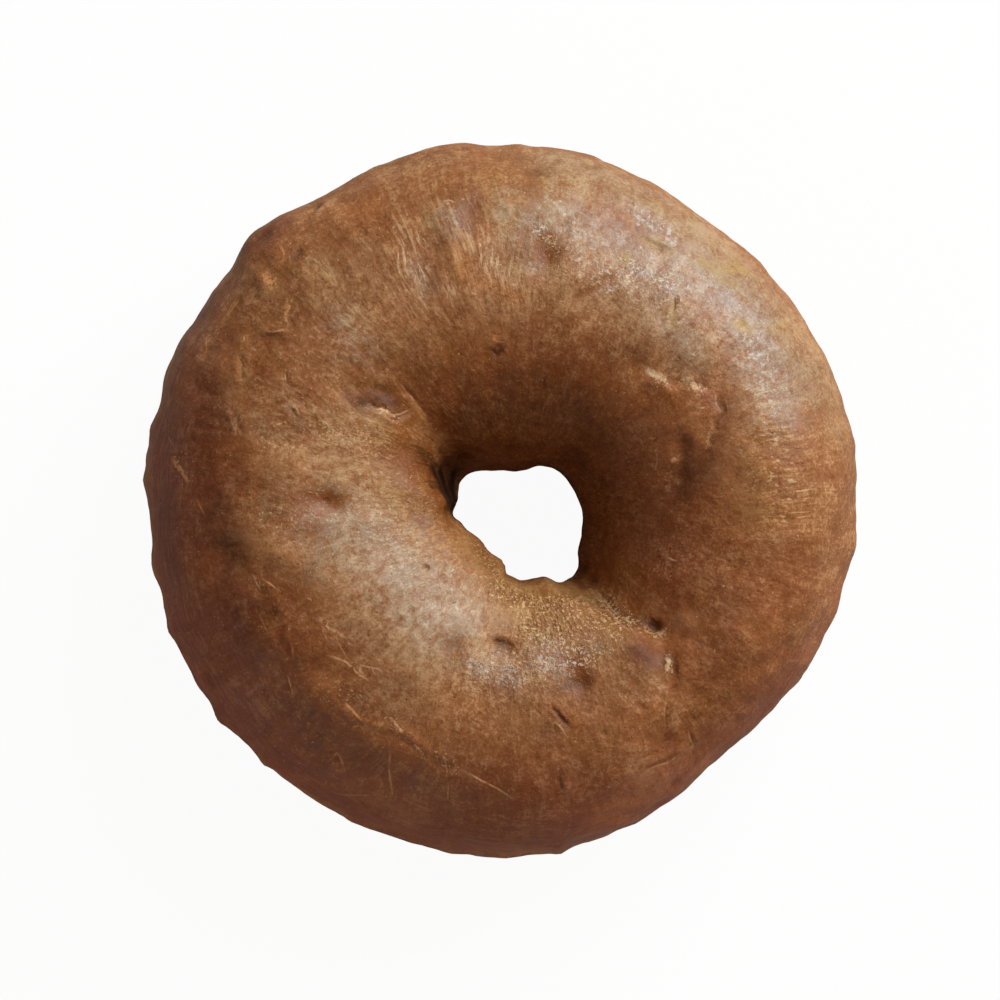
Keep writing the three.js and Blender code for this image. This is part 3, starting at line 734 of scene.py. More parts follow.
        ([(340, 590), (365, 600)], 3.0, 0.45), ([(385, 620), (412, 645)], 3.2, 0.5),
        ([(452, 622), (480, 632)], 2.2, 0.55), ([(510, 640), (520, 636)], 1.4, 0.5),
        ([(316, 684), (330, 690)], 2.0, 0.45), ([(280, 632), (288, 656)], 1.4, 0.4),
        ([(420, 700), (440, 708)], 2.2, 0.4), ([(480, 690), (486, 706)], 2.0, 0.45),
        ([(586, 672), (598, 676)], 1.2, 0.5), ([(556, 708), (574, 716)], 1.4, 0.5),
        ([(579, 574), (592, 592)], 1.4, 1.0), ([(604, 578), (626, 596)], 1.6, 0.6),
        ([(648, 619), (666, 621)], 1.3, 1.0), ([(688, 616), (706, 622)], 1.6, 0.7),
        ([(672, 640), (686, 655)], 2.0, 0.7), ([(748, 632), (775, 630)], 2.4, 0.4),
        ([(634, 716), (664, 704)], 2.6, 0.35), ([(533, 757), (541, 760)], 1.6, 0.5),
        ([(332, 750), (338, 758)], 1.2, 0.6), ([(752, 400), (756, 425)], 2.0, 0.35),
        ([(765, 500), (790, 515)], 2.0, 0.35), ([(370, 318), (402, 345)], 3.0, 0.4),
        ([(405, 402), (420, 406)], 1.6, 0.6), ([(665, 318), (690, 330)], 2.6, 0.35),
        ([(700, 500), (725, 498)], 2.6, 0.35), ([(560, 285), (600, 285)], 3.0, 0.35),
        ([(218, 286), (232, 268)], 2.2, 0.7), ([(204, 680), (212, 700)], 2.0, 0.6),
        ([(600, 838), (640, 818)], 1.8, 0.7), ([(634, 600), (642, 606)], 1.6, 0.6),
        ([(560, 712), (574, 720)], 1.2, 0.5), ([(345, 478), (385, 472), (392, 460)], 4.0, 0.35),
        ([(270, 548), (292, 560)], 1.8, 0.6), ([(350, 556), (385, 560)], 3.4, 0.3),
        ([(672, 330), (694, 330)], 2.4, 0.3), ([(735, 470), (745, 476)], 3.0, 0.35),
        ([(672, 660), (690, 670)], 2.2, 0.7), ([(455, 615), (470, 622)], 2.0, 0.4),
        ([(580, 838), (640, 816), (650, 812)], 1.6, 0.5), ([(195, 672), (205, 690)], 1.6, 0.6),
        ([(212, 282), (222, 270)], 1.6, 0.5), ([(700, 600), (705, 622)], 1.8, 0.4),
        ([(626, 408), (634, 400)], 1.6, 0.5), ([(300, 420), (330, 412)], 1.6, 0.3),
        ([(260, 770), (300, 776)], 2.2, 0.3), ([(405, 760), (420, 745)], 2.2, 0.35),
        ([(590, 674), (594, 678)], 1.2, 0.5), ([(360, 600), (400, 598)], 3.0, 0.35),
        ([(450, 615), (475, 640)], 3.0, 0.4), ([(505, 640), (520, 634)], 1.2, 0.5),
        ([(675, 420), (660, 470)], 1.6, 0.45), ([(670, 650), (690, 680), (690, 700)], 2.6, 0.35),
        ([(640, 744), (665, 730)], 3.0, 0.3), ([(456, 690), (468, 700)], 2.4, 0.35),
        ([(650, 780), (690, 772), (710, 760)], 3.0, 0.3), ([(790, 330), (800, 350)], 3.0, 0.25),
        ([(225, 300), (240, 296)], 2.4, 0.4), ([(340, 450), (390, 455)], 4.0, 0.3),
        ([(284, 545), (300, 556)], 1.6, 0.5),
    ],
    # painted light: lighter and rosier low on the near side, as if lit by light thrown back from the floor
    "rosyBounceLight": [
        ([(155, 426), (150, 499), (157, 573)], 5.0, 0.6),
        ([(157, 573), (181, 642), (216, 706), (267, 760), (327, 801), (393, 831), (463, 851),
         (538, 849), (608, 828)], 6.5, 1.0),
        ([(608, 828), (671, 794), (724, 747), (775, 699), (816, 640), (843, 590)], 5.5, 0.7),
    ],
    # short bright dashes along the fibres
    "dashes": [
        ([(290, 425), (330, 432), (372, 440)], 4.0, 0.9),
        ([(300, 470), (360, 480), (420, 500)], 6.0, 0.5), ([(340, 540), (400, 560)], 5.0, 0.4),
        ([(270, 510), (300, 515)], 3.0, 0.5), ([(760, 450), (785, 480), (790, 505)], 5.0, 0.9),
        ([(405, 258), (425, 290)], 2.5, 1.0), ([(480, 245), (515, 292)], 2.5, 1.0),
        ([(330, 270), (360, 310)], 4.0, 0.6), ([(330, 600), (360, 640)], 3.0, 0.4),
        ([(640, 560), (690, 560)], 4.0, 0.4),
    ],
    # small ochre flecks
    "ochre": [
        ([(688, 214), (694, 219)], 0.8, 0.9), ([(702, 262), (716, 270), (742, 268)], 1.3, 0.7),
        ([(720, 278), (735, 284)], 1.1, 0.6), ([(740, 322), (747, 330)], 1.0, 1.0),
        ([(624, 256), (627, 260)], 0.9, 0.8), ([(655, 244), (664, 252)], 1.1, 0.7),
        ([(645, 240), (672, 250)], 0.8, 0.5), ([(672, 308), (674, 325)], 0.7, 0.7),
        ([(655, 205)], 1.0, 0.5), ([(770, 332), (785, 326)], 1.0, 0.35),
    ],
    # painted light: greyer, bluer crust on the side towards the lamp, where the light falls
    "coolLight": [
        ([(560, 165), (620, 190), (690, 240), (750, 300), (805, 370)], 7.0, 1.0),
        ([(620, 225), (690, 330)], 4.0, 0.6), ([(505, 230), (560, 250), (615, 250)], 5.0, 0.4),
        ([(455, 625), (500, 670), (540, 700)], 5.0, 0.4), ([(600, 670), (660, 665)], 5.0, 0.4),
        ([(600, 275), (640, 300)], 4.0, 0.5), ([(620, 370), (690, 370)], 4.0, 0.5),
    ],
    # thin bluish-white flakes
    "frost": [
        ([(600, 286), (640, 270), (668, 286)], 2.6, 0.6),
        ([(640, 214), (662, 228), (674, 240)], 2.2, 0.6),
        ([(568, 216), (578, 250), (582, 285)], 1.8, 0.5), ([(548, 198), (560, 203)], 1.4, 0.5),
        ([(504, 194), (508, 220)], 1.4, 0.45), ([(528, 264), (538, 274)], 1.2, 0.6),
        ([(446, 204), (460, 218)], 1.4, 0.5), ([(704, 276), (712, 308)], 1.4, 0.5),
        ([(670, 318), (706, 322)], 1.4, 0.5), ([(690, 350), (700, 353)], 0.9, 0.5),
        ([(748, 336), (765, 370), (768, 400)], 2.8, 0.55), ([(472, 664), (514, 676)], 2.0, 0.55),
        ([(536, 660), (576, 666)], 2.4, 0.55), ([(452, 566), (456, 606)], 2.0, 0.45),
        ([(385, 535), (400, 575), (420, 600)], 3.0, 0.4), ([(370, 318), (384, 324)], 0.9, 0.45),
        ([(342, 328), (350, 336)], 1.2, 0.45), ([(404, 262), (424, 288)], 1.3, 0.25),
        ([(494, 262), (514, 288)], 1.2, 0.4), ([(700, 228), (740, 262), (775, 300)], 3.0, 0.25),
    ],
    # painted shadow: almost black in the folds at the hole
    "holeShadow": [
        ([(455, 512), (449, 499), (444, 484), (440, 470)], 1.4, 1.0),
        ([(454, 474), (452, 486), (454, 498), (457, 508)], 1.9, 1.0),
        ([(432, 467), (437, 478), (443, 492), (451, 506)], 0.9, 0.9),
        ([(442, 470), (430, 462), (420, 455)], 0.7, 0.5), ([(444, 488), (432, 487)], 0.6, 0.5),
        ([(579, 577), (587, 566)], 1.0, 0.6), ([(224, 540), (231, 548), (236, 558)], 1.5, 0.42),
        ([(218, 508), (224, 516)], 1.4, 0.34), ([(360, 405), (368, 404)], 0.8, 0.42),
        ([(372, 400), (384, 399), (396, 404)], 0.9, 0.3), ([(498, 645), (506, 647)], 0.7, 0.35),
        ([(579, 450), (583, 456)], 1.0, 0.4), ([(588, 574), (594, 582)], 0.8, 0.4),
        ([(228, 416), (232, 424)], 1.2, 0.28), ([(594, 646), (606, 650)], 1.2, 0.28),
        ([(634, 652), (646, 658)], 1.4, 0.2), ([(664, 657), (669, 661)], 1.0, 0.28),
        ([(572, 684), (582, 687)], 1.0, 0.34), ([(236, 612), (246, 620), (262, 616)], 2.4, 0.16),
        ([(560, 464), (566, 460)], 1.0, 0.3), ([(297, 424), (303, 427)], 0.9, 0.3),
        ([(498, 400), (506, 404)], 1.4, 0.15), ([(538, 377), (544, 381)], 1.0, 0.25),
    ],
    # fine fibres drawn towards the hole
    "spokes": [
        ([(400, 240), (420, 290), (440, 300)], 5.0, 0.9),
        ([(450, 220), (480, 250), (510, 280)], 5.0, 0.9),
        ([(420, 410), (500, 420), (560, 415)], 7.0, 0.7), ([(310, 290), (360, 350)], 6.0, 0.6),
        ([(300, 430), (350, 430), (400, 440)], 5.0, 0.6),
        ([(340, 540), (400, 560), (430, 590)], 6.0, 0.35),
        ([(770, 420), (780, 460), (780, 500)], 5.0, 0.5),
        ([(620, 520), (700, 560), (740, 600)], 8.0, 0.3),
    ],
    # small bright blisters
    "blisters": [
        ([(555, 250), (600, 270), (640, 282), (680, 300)], 4.5, 0.25),
        ([(540, 230), (550, 242)], 1.3, 0.5),
        ([(500, 590), (540, 608), (590, 600), (620, 622)], 3.0, 1.0),
        ([(530, 630), (590, 620)], 3.0, 0.9), ([(485, 668), (540, 662), (580, 660)], 3.6, 0.5),
        ([(480, 550), (500, 580)], 2.2, 0.7), ([(760, 360), (775, 420)], 4.0, 0.2),
        ([(290, 548), (340, 500), (410, 540)], 5.0, 0.12), ([(640, 470), (670, 480)], 3.0, 0.25),
    ],
}

# How much a noise breaks up the edges of each wash
washRaggedness = {
    "bloomAndSheen": 2.2, "goldAndGlow": 2.0, "deepShade": 1.2, "plumShade": 1.2, "redPatchesAndShade": 1.8, "warmShade": 0.3, "tanAndLight": 1.6,
    "fairAndLight": 1.8, "hollowShade": 1.0, "honey": 0.3, "violetShade": 0.3, "glitterAndGlints": 0.6, "dimAndShade": 1.4, "liftAndLight": 1.4,
    "rosyBounceLight": 0.4, "dashes": 0.6, "ochre": 2.4, "coolLight": 0.3, "holeShadow": 0.5, "spokes": 0.4, "blisters": 1.2,
}

# Fine pale scratches, and painted glints on ledges and crease edges: path, half width in millimetres,
# strength, and how orange they are
scratchesAndGlints = {
    "flankLong": ([(170, 456), (177, 466), (184, 475), (190, 487)], 0.3, 0.8, 0.9),
    "flankFaint": ([(196, 498), (205, 516)], 0.14, 0.45, 1.0),
    "flankTop": ([(168, 436), (172, 445)], 0.1, 0.5, 0.4),
    "leftLongOne": ([(311, 615), (327, 627), (345, 641), (356, 648)], 0.13, 0.8, 0.4),
    "leftLongOneSide": ([(318, 613), (336, 628), (350, 643)], 0.09, 0.4, 0.3),
    "leftLongTwo": ([(322, 654), (345, 662), (358, 674), (375, 685)], 0.12, 0.7, 0.5),
    "leftLongTwoFork": ([(349, 666), (367, 667), (384, 671)], 0.1, 0.5, 0.4),
    "leftBright": ([(344, 701), (352, 711), (361, 720)], 0.15, 1.0, 0.9),
    "leftBrightBelow": ([(352, 727), (360, 726)], 0.1, 0.4, 0.6),
    "lowBright": ([(391, 718), (397, 726), (404, 734)], 0.14, 0.9, 0.3),
    "lowBrightNext": ([(414, 744), (421, 753)], 0.13, 0.8, 0.4),
    "shortFlank": ([(287, 674), (290, 684), (293, 696)], 0.12, 0.8, 0.7),
    "shortFlankAbove": ([(291, 640), (294, 660)], 0.15, 0.35, 0.9),
    "upperFlank": ([(251, 572), (256, 582), (262, 592)], 0.1, 0.5, 0.3),
    "upperFlankFork": ([(258, 577), (270, 584), (280, 592)], 0.09, 0.5, 0.4),
    "flankFall": ([(259, 612), (264, 626), (269, 634)], 0.12, 0.3, 0.7),
    "starStem": ([(337, 751), (342, 762), (346, 774)], 0.13, 0.7, 0.8),
    "starArm": ([(326, 753), (333, 756), (339, 751)], 0.1, 0.6, 0.7),
    "uprightLine": ([(391, 747), (389, 770), (393, 798)], 0.13, 0.6, 0.8),
    "footLine": ([(327, 791), (345, 795), (385, 796)], 0.12, 0.35, 0.6),
    "bottomSlant": ([(462, 770), (478, 779), (499, 790), (516, 801)], 0.12, 0.7, 0.5),
    "bottomFall": ([(442, 754), (446, 766), (447, 782)], 0.1, 0.4, 0.6),
    "bottomUpright": ([(448, 783), (448, 802)], 0.11, 0.45, 0.6),
    "shoulderLine": ([(636, 779), (652, 768), (669, 762), (686, 750)], 0.13, 0.6, 0.7),
    "shoulderHook": ([(688, 729), (690, 738), (693, 746), (689, 749)], 0.11, 0.6, 0.7),
    "lipLeft": ([(371, 408), (384, 410), (395, 415), (406, 411), (415, 407)], 0.15, 0.6, 0.2),
    "lipUp": ([(397, 380), (406, 391), (413, 400), (420, 408)], 0.12, 0.55, 0.5),
    "creaseGlint": ([(289, 404), (296, 409), (301, 418)], 0.13, 0.6, 0.3),
    "creaseGlintUp": ([(284, 370), (285, 377), (287, 384)], 0.1, 0.5, 0.4),
    "shelfGlint": ([(266, 332), (276, 331), (288, 329)], 0.12, 0.45, 0.6),
    "stepGlint": ([(235, 352), (241, 363), (245, 376)], 0.1, 0.3, 0.5),
    "edgeTick": ([(206, 338), (206, 353)], 0.1, 0.5, 0.9),
    "edgeTickRight": ([(243, 335), (244, 341)], 0.12, 0.6, 0.4),
    "ochreTick": ([(236, 298), (230, 308), (225, 318)], 0.16, 0.6, 1.0),
    "ochreTickRight": ([(269, 271), (268, 282), (272, 292)], 0.2, 0.8, 0.9),
    "ochreTickLow": ([(287, 299), (284, 309), (287, 314)], 0.12, 0.35, 0.9),
    "lumpThread": ([(262, 272), (265, 284)], 0.13, 0.7, 0.9),
    "lumpThreadSide": ([(276, 273), (275, 288)], 0.11, 0.5, 0.9),
    "lumpThreadRight": ([(285, 296), (290, 306), (284, 316), (290, 326)], 0.1, 0.6, 0.9),
    "lumpThreadLow": ([(222, 324), (230, 312), (240, 298)], 0.12, 0.7, 1.0),
    "lumpOutline": ([(278, 243), (284, 254), (279, 266)], 0.1, 0.5, 0.9),
    "fanOne": ([(409, 264), (415, 276), (422, 288)], 0.1, 0.45, 0.0),
    "fanTwo": ([(405, 268), (411, 280), (417, 290)], 0.08, 0.35, 0.0),
    "fanThree": ([(416, 260), (422, 271), (429, 284)], 0.09, 0.45, 0.0),
    "fanFour": ([(400, 272), (407, 284)], 0.08, 0.25, 0.1),
    "crestFanOne": ([(488, 252), (498, 268), (508, 284)], 0.08, 0.35, 0.0),
    "crestFanTwo": ([(496, 262), (508, 278), (519, 294)], 0.08, 0.40, 0.0),
    "crestFanThree": ([(502, 262), (512, 276), (521, 290)], 0.08, 0.25, 0.0),
    "crestFanFour": ([(480, 248), (488, 262)], 0.08, 0.25, 0.1),
    "grooveTick": ([(414, 236), (420, 244), (426, 250)], 0.08, 0.6, 0.1),
    "crestTick": ([(446, 290), (448, 300)], 0.1, 0.5, 0.1),
    "pitThread": ([(484, 338), (497, 341), (509, 343)], 0.08, 0.5, 0.9),
    "pitThreadUp": ([(488, 333), (500, 336)], 0.07, 0.4, 0.9),
    "streakThree": ([(418, 234), (424, 240), (430, 248)], 0.11, 0.40, 0.0),
    "streakFour": ([(484, 252), (494, 264), (505, 278), (517, 293)], 0.1, 0.35, 0.1),
    "streakFive": ([(478, 258), (486, 270), (492, 282)], 0.09, 0.20, 0.1),
    "streakSix": ([(442, 202), (450, 200), (456, 204)], 0.1, 0.6, 0.1),
    "ledgeFlakeLine": ([(644, 367), (650, 372), (658, 375), (669, 381)], 0.36, 0.85, 0.0),
    "ledgeFlakeNext": ([(680, 377), (690, 380), (694, 385), (701, 388)], 0.26, 0.6, 0.0),
    "ledgeEdge": ([(716, 392), (716, 402), (720, 410)], 0.12, 0.3, 0.3),
    "ledgeEdgeLow": ([(713, 424), (709, 434), (708, 448)], 0.14, 0.45, 0.3),
    "hollowTick": ([(655, 442), (657, 455), (656, 468), (648, 474)], 0.13, 0.4, 0.4),
    "hollowGlint": ([(671, 458), (675, 463)], 0.3, 0.5, 0.3),
    "hollowGlintLow": ([(667, 484), (668, 493)], 0.28, 0.4, 0.3),
    "shortRight": ([(665, 554), (670, 559), (677, 561)], 0.1, 0.7, 0.1),
    "shortInner": ([(611, 498), (617, 496), (623, 495)], 0.09, 0.4, 0.5),
    "dashOne": ([(697, 408), (704, 408)], 0.1, 0.7, 0.1),
    "foldLip": ([(590, 590), (598, 598), (608, 610), (616, 619), (626, 628), (640, 635)], 0.16, 0.35, 0.5),
    "fleckTall": ([(667, 655), (669, 662), (667, 668), (671, 674)], 0.2, 0.6, 0.0),
    "cutGlint": ([(554, 721), (562, 729), (567, 737)], 0.12, 0.5, 0.2),
    "pitGlint": ([(656, 631), (661, 634), (663, 630)], 0.2, 0.8, 0.1),
}

# Dark hairline cracks, and painted shade in folds and under lips, drawn the same way, with no tint
cracksAndShade = {
    "cornerFoldOne": ([(436, 460), (424, 451), (408, 444)], 0.14, 0.8),
    "cornerFoldTwo": ([(438, 470), (426, 465), (412, 462)], 0.12, 0.7),
    "cornerFoldThree": ([(444, 486), (434, 482), (422, 482)], 0.14, 0.8),
    "cornerFoldFour": ([(441, 452), (434, 442), (424, 434)], 0.12, 0.5),
    "cornerFoldFive": ([(445, 474), (434, 463), (420, 454)], 0.12, 0.7),
    "cornerFoldSix": ([(447, 492), (438, 488), (429, 487)], 0.1, 0.7),
    "cornerFoldSeven": ([(440, 464), (428, 455), (414, 452)], 0.1, 0.6),
    "uprightCrack": ([(674, 290), (675, 303), (673, 317)], 0.1, 0.5),
    "pitLine": ([(636, 233), (648, 241), (660, 247)], 0.1, 0.35),
    "lowerSlit": ([(494, 640), (501, 643), (511, 646)], 0.2, 0.8),
    "lowerCut": ([(549, 707), (560, 716), (571, 727)], 0.18, 0.9),
    "foldPit": ([(647, 621), (655, 624), (662, 629)], 0.5, 1.0),
    "lowerRightCrack": ([(674, 658), (677, 668), (676, 678)], 0.2, 0.6),
    "lowerRightCrackLow": ([(668, 700), (666, 716), (667, 731)], 0.14, 0.7),
    "lipUnder": ([(369, 406), (380, 407)], 0.16, 0.8),
    "lipUnderLow": ([(385, 414), (393, 419), (400, 417)], 0.16, 0.9),
    "creaseLeft": ([(287, 373), (287, 381), (292, 388)], 0.14, 0.5),
    "creaseLeftLow": ([(290, 408), (295, 414), (301, 420)], 0.14, 0.4),
    "shelf": ([(260, 336), (268, 335), (283, 334)], 0.24, 0.7),
    "step": ([(238, 356), (242, 365), (242, 380)], 0.16, 0.6),
    "lumpCrease": ([(301, 246), (296, 254), (290, 262)], 0.3, 0.7),
    "lumpStreak": ([(321, 204), (313, 210)], 0.3, 0.6),
    "pitCluster": ([(487, 352), (492, 349), (497, 354), (502, 350), (505, 357)], 0.2, 0.9),
    "pitClusterUp": ([(494, 346), (502, 345)], 0.2, 0.6),
    "smallPit": ([(657, 249), (664, 251)], 0.25, 0.35),
    "leftPit": ([(317, 498), (326, 500), (332, 498)], 0.2, 0.5),
    "hollow": ([(683, 440), (683, 470), (682, 490)], 0.5, 0.5),
    "ledgeUnder": ([(721, 397), (725, 411), (718, 420), (717, 432)], 0.18, 0.55),
    "lowSlit": ([(559, 775), (561, 784), (563, 793)], 0.16, 0.7),
    "pinhole": ([(424, 566), (430, 568)], 0.24, 0.6),
    "edgeNick": ([(690, 216), (697, 221)], 0.25, 0.6),
    "foldShade": ([(594, 586), (610, 605), (624, 620), (642, 631)], 0.2, 0.5),
}

# How the scratches and cracks are drawn, in millimetres
lineDrawing = {
    "widening": 1.35,  # makes every one that much wider
    "reach": 1.6,
    "sway": 0.07,
    "fade": (0.5, 1.1),  # beyond its half width a line begins to fade, and is gone
    "endShare": 0.3,  # of its length, faded at each end
    "farAway": 9.0,
}


def keepOnMesh(crust, name, kind, values):
    attribute = crust.data.attributes.new(name, kind, "POINT")
    field = "vector" if kind == "FLOAT_VECTOR" else "value"
    attribute.data.foreach_set(field, np.asarray(values, np.float32).ravel())


def paintWashes(crust, strokeWidths=2.2):
    # Each wash keeps the strongest of its strokes, out to that many half widths
    skin = points(crust)
    for name, strokes in washes.items():
        paint = np.zeros(len(skin))
        for corners, spread, strength in strokes:
            near, across, share, apart = alongStroke(corners, strokeWidths * spread, skin)
            paint[near] = np.maximum(paint[near], strength * bell(apart, spread))
        keepOnMesh(crust, name, "FLOAT", paint)


def drawLines(crust, name, lines):
    # Keeps, near each line, how far the skin lies across it in half widths, its strength and its tint
    skin = points(crust)
    drawing = lineDrawing
    nearest = np.full(len(skin), drawing["farAway"])
    drawn = np.zeros((len(skin), 3))
    drawn[:, 0] = drawing["farAway"]
    for path, width, strength, *orange in lines.values():
        near, across, share, apart = alongStroke(path, drawing["reach"], skin, drawing["sway"])
        closer = apart < nearest[near]
        near, across, share, apart = near[closer], across[closer], share[closer], apart[closer]
        nearest[near] = apart
        halfWidth = drawing["widening"] * width
        begins, gone = (halfWidth + f for f in drawing["fade"])
        drawn[near, 0] = across / halfWidth
        fading = (1 - smoothStep(apart, begins, gone)) * fadeAtEnds(share, drawing["endShare"])
        drawn[near, 1] = strength * fading
        drawn[near, 2] = sum(orange)
    keepOnMesh(crust, name, "FLOAT_VECTOR", drawn)


paintWashes(crust)
drawLines(crust, "scratchesAndGlints", scratchesAndGlints)
drawLines(crust, "cracksAndShade", cracksAndShade)
print("washes and lines painted")


# Material building
def setSocket(tree, socket, value):
    # A link where another node gives the value. A colour is given as red, green and blue.
    if isinstance(value, bpy.types.NodeSocket):
        tree.links.new(value, socket)
    elif socket.type == "RGBA":
        socket.default_value = (*value, 1)
    else:
        socket.default_value = value


def addNode(tree, kind, inputs=(), **settings):
    made = tree.nodes.new("ShaderNode" + kind)
    count = len(tree.nodes)
    made.location = (count // 8 * 220, -(count % 8) * 180)
    for name, value in settings.items():
        setattr(made, name, value)
    for name, value in dict(inputs).items():
        setSocket(tree, made.inputs[name], value)
    return made


def calculate(tree, operation, *values):
    return addNode(tree, "Math", enumerate(values), operation=operation).outputs[0]


def movedAlong(tree, start, direction, factor):
    # A place moved along a direction
    inputs = {0: direction, 1: (factor, factor, factor), 2: start}
    return addNode(tree, "VectorMath", inputs, operation="MULTIPLY_ADD").outputs["Vector"]


def times(tree, first, *others):
    result = first
    for other in others:
        result = calculate(tree, "MULTIPLY", result, other)
    return result


def total(tree, start, *parts):
    # The start plus each part times its factor
    result = start
    for part, factor in parts:
        result = calculate(tree, "MULTIPLY_ADD", part, factor, result)
    return result


def ease(tree, value, low, high, bottom=0.0, top=1.0):
    inputs = {"Value": value, "From Min": low, "From Max": high, "To Min": bottom, "To Max": top}
    return addNode(tree, "MapRange", inputs, interpolation_type="SMOOTHSTEP").outputs["Result"]


def blendColour(tree, share, first, second, how="MIX"):
    inputs = {0: share, 6: first, 7: second}
    return addNode(tree, "Mix", inputs, data_type="RGBA", blend_type=how).outputs[2]


def cloudiness(tree, place, scale, detail=2.0, roughness=0.5, distortion=0.0):
    inputs = {"Vector": place, "Scale": scale, "Detail": detail, "Roughness": roughness}
    inputs["Distortion"] = distortion
    return calculate(tree, "SUBTRACT", addNode(tree, "TexNoise", inputs).outputs["Fac"], 0.5)


def parts(tree, vector):
    return addNode(tree, "SeparateXYZ", {"Vector": vector}).outputs


def painted(tree, name):
    return addNode(tree, "Attribute", attribute_name=name).outputs["Fac"]


def startGroup(name, inputs, outputs):
    tree = bpy.data.node_groups.new(name, "ShaderNodeTree")
    for way, sockets in (("INPUT", inputs), ("OUTPUT", outputs)):
        for socket, kind in sockets.items():
            tree.interface.new_socket(socket, in_out=way, socket_type="NodeSocket" + kind)
    return tree, tree.nodes.new("NodeGroupInput").outputs, tree.nodes.new("NodeGroupOutput").inputs


def raggedWashGroup():
    # A painted wash with its edge broken up by a noise
    inputs = {"Wash": "Float", "Noise": "Float", "Raggedness": "Float"}
    tree, given, result = startGroup("raggedWash", inputs, {"Mask": "Float"})
    middle = times(tree, given["Wash"], calculate(tree, "SUBTRACT", 1.0, given["Wash"]), 4.0)
    swing = times(tree, given["Noise"], given["Raggedness"])
    swung = calculate(tree, "MULTIPLY_ADD", middle, swing, given["Wash"])
    mask = calculate(tree, "MINIMUM", calculate(tree, "MAXIMUM", swung, 0.0), 1.0)
    setSocket(tree, result["Mask"], mask)
    return tree


def speckGroup():
    # Small round specks, in only some of the cells that they are spread over
    inputs = {"Place": "Vector", "Scale": "Float", "Share": "Float", "Radius": "Float"}
    tree, given, result = startGroup("scatteredSpecks", inputs, {"Mask": "Float"})
    cells = addNode(tree, "TexVoronoi", {"Vector": given["Place"], "Scale": given["Scale"]}).outputs
    chance = parts(tree, cells["Color"])
    radius = times(tree, given["Radius"], total(tree, 0.5, (chance["Y"], 0.8)))
    near = ease(tree, calculate(tree, "DIVIDE", cells["Distance"], radius), 0.4, 1.0, 1.0, 0.0)
    chosen = ease(tree, calculate(tree, "SUBTRACT", given["Share"], chance["X"]), -0.05, 0.1)
    setSocket(tree, result["Mask"], times(tree, near, chosen))
    return tree


# How the dough was drawn out as it was shaped, in millimetres
doughFlow = {
    "swayScale": 0.1,  # sways of about ten millimetres
    "sway": 3.0,
    "swayMiddle": 2.5,  # where the sway moves the middle of the hole to, from its own place
    "turn": 28.0,  # how far round the ring counts as, for the width of a fibre
}


def flowGroup():
    # Places stretched along the dough's flow: towards the hole for spokes, and round it for rings
    outputs = {"Spokes": "Vector", "Rings": "Vector", "RingTurn": "Float"}
    tree, given, result = startGroup("doughFlow", {"Place": "Vector", "Stretch": "Float"}, outputs)
    flow = doughFlow
    noiseInputs = {"Vector": given["Place"], "Scale": flow["swayScale"], "Detail": 0.0}
    sway = addNode(tree, "TexNoise", noiseInputs).outputs["Color"]
    split = parts(tree, movedAlong(tree, given["Place"], sway, flow["sway"]))
    x = calculate(tree, "SUBTRACT", split["X"], hole["middle"][0] + flow["swayMiddle"])
    y = calculate(tree, "SUBTRACT", split["Y"], hole["middle"][1] + flow["swayMiddle"])
    out = calculate(tree, "SQRT", calculate(tree, "MULTIPLY_ADD", x, x, times(tree, y, y)))
    turnX = times(tree, calculate(tree, "DIVIDE", x, out), flow["turn"])
    turnY = times(tree, calculate(tree, "DIVIDE", y, out), flow["turn"])
    slope = times(tree, calculate(tree, "ADD", out, split["Z"]), given["Stretch"])
    spokes = addNode(tree, "CombineXYZ", {"X": turnX, "Y": turnY, "Z": slope})
    ringX = times(tree, turnX, given["Stretch"])
    rings = addNode(tree, "CombineXYZ", {"X": out, "Y": split["Z"], "Z": ringX})
    setSocket(tree, result["Spokes"], spokes.outputs["Vector"])
    setSocket(tree, result["Rings"], rings.outputs["Vector"])
    setSocket(tree, result["RingTurn"], times(tree, turnY, given["Stretch"]))
    return tree


def lineMask(tree, name, wobble, breaks):
    # The painted line's strength where the skin lies within its half width, and its tint
    kept = parts(tree, addNode(tree, "Attribute", attribute_name=name).outputs["Vector"])
    shifted = total(tree, kept["X"], (wobble, 1.3))
    inside = ease(tree, calculate(tree, "ABSOLUTE", shifted), 0.4, 1.4, 1.0, 0.0)
    return times(tree, inside, kept["Y"], breaks), kept["Z"]


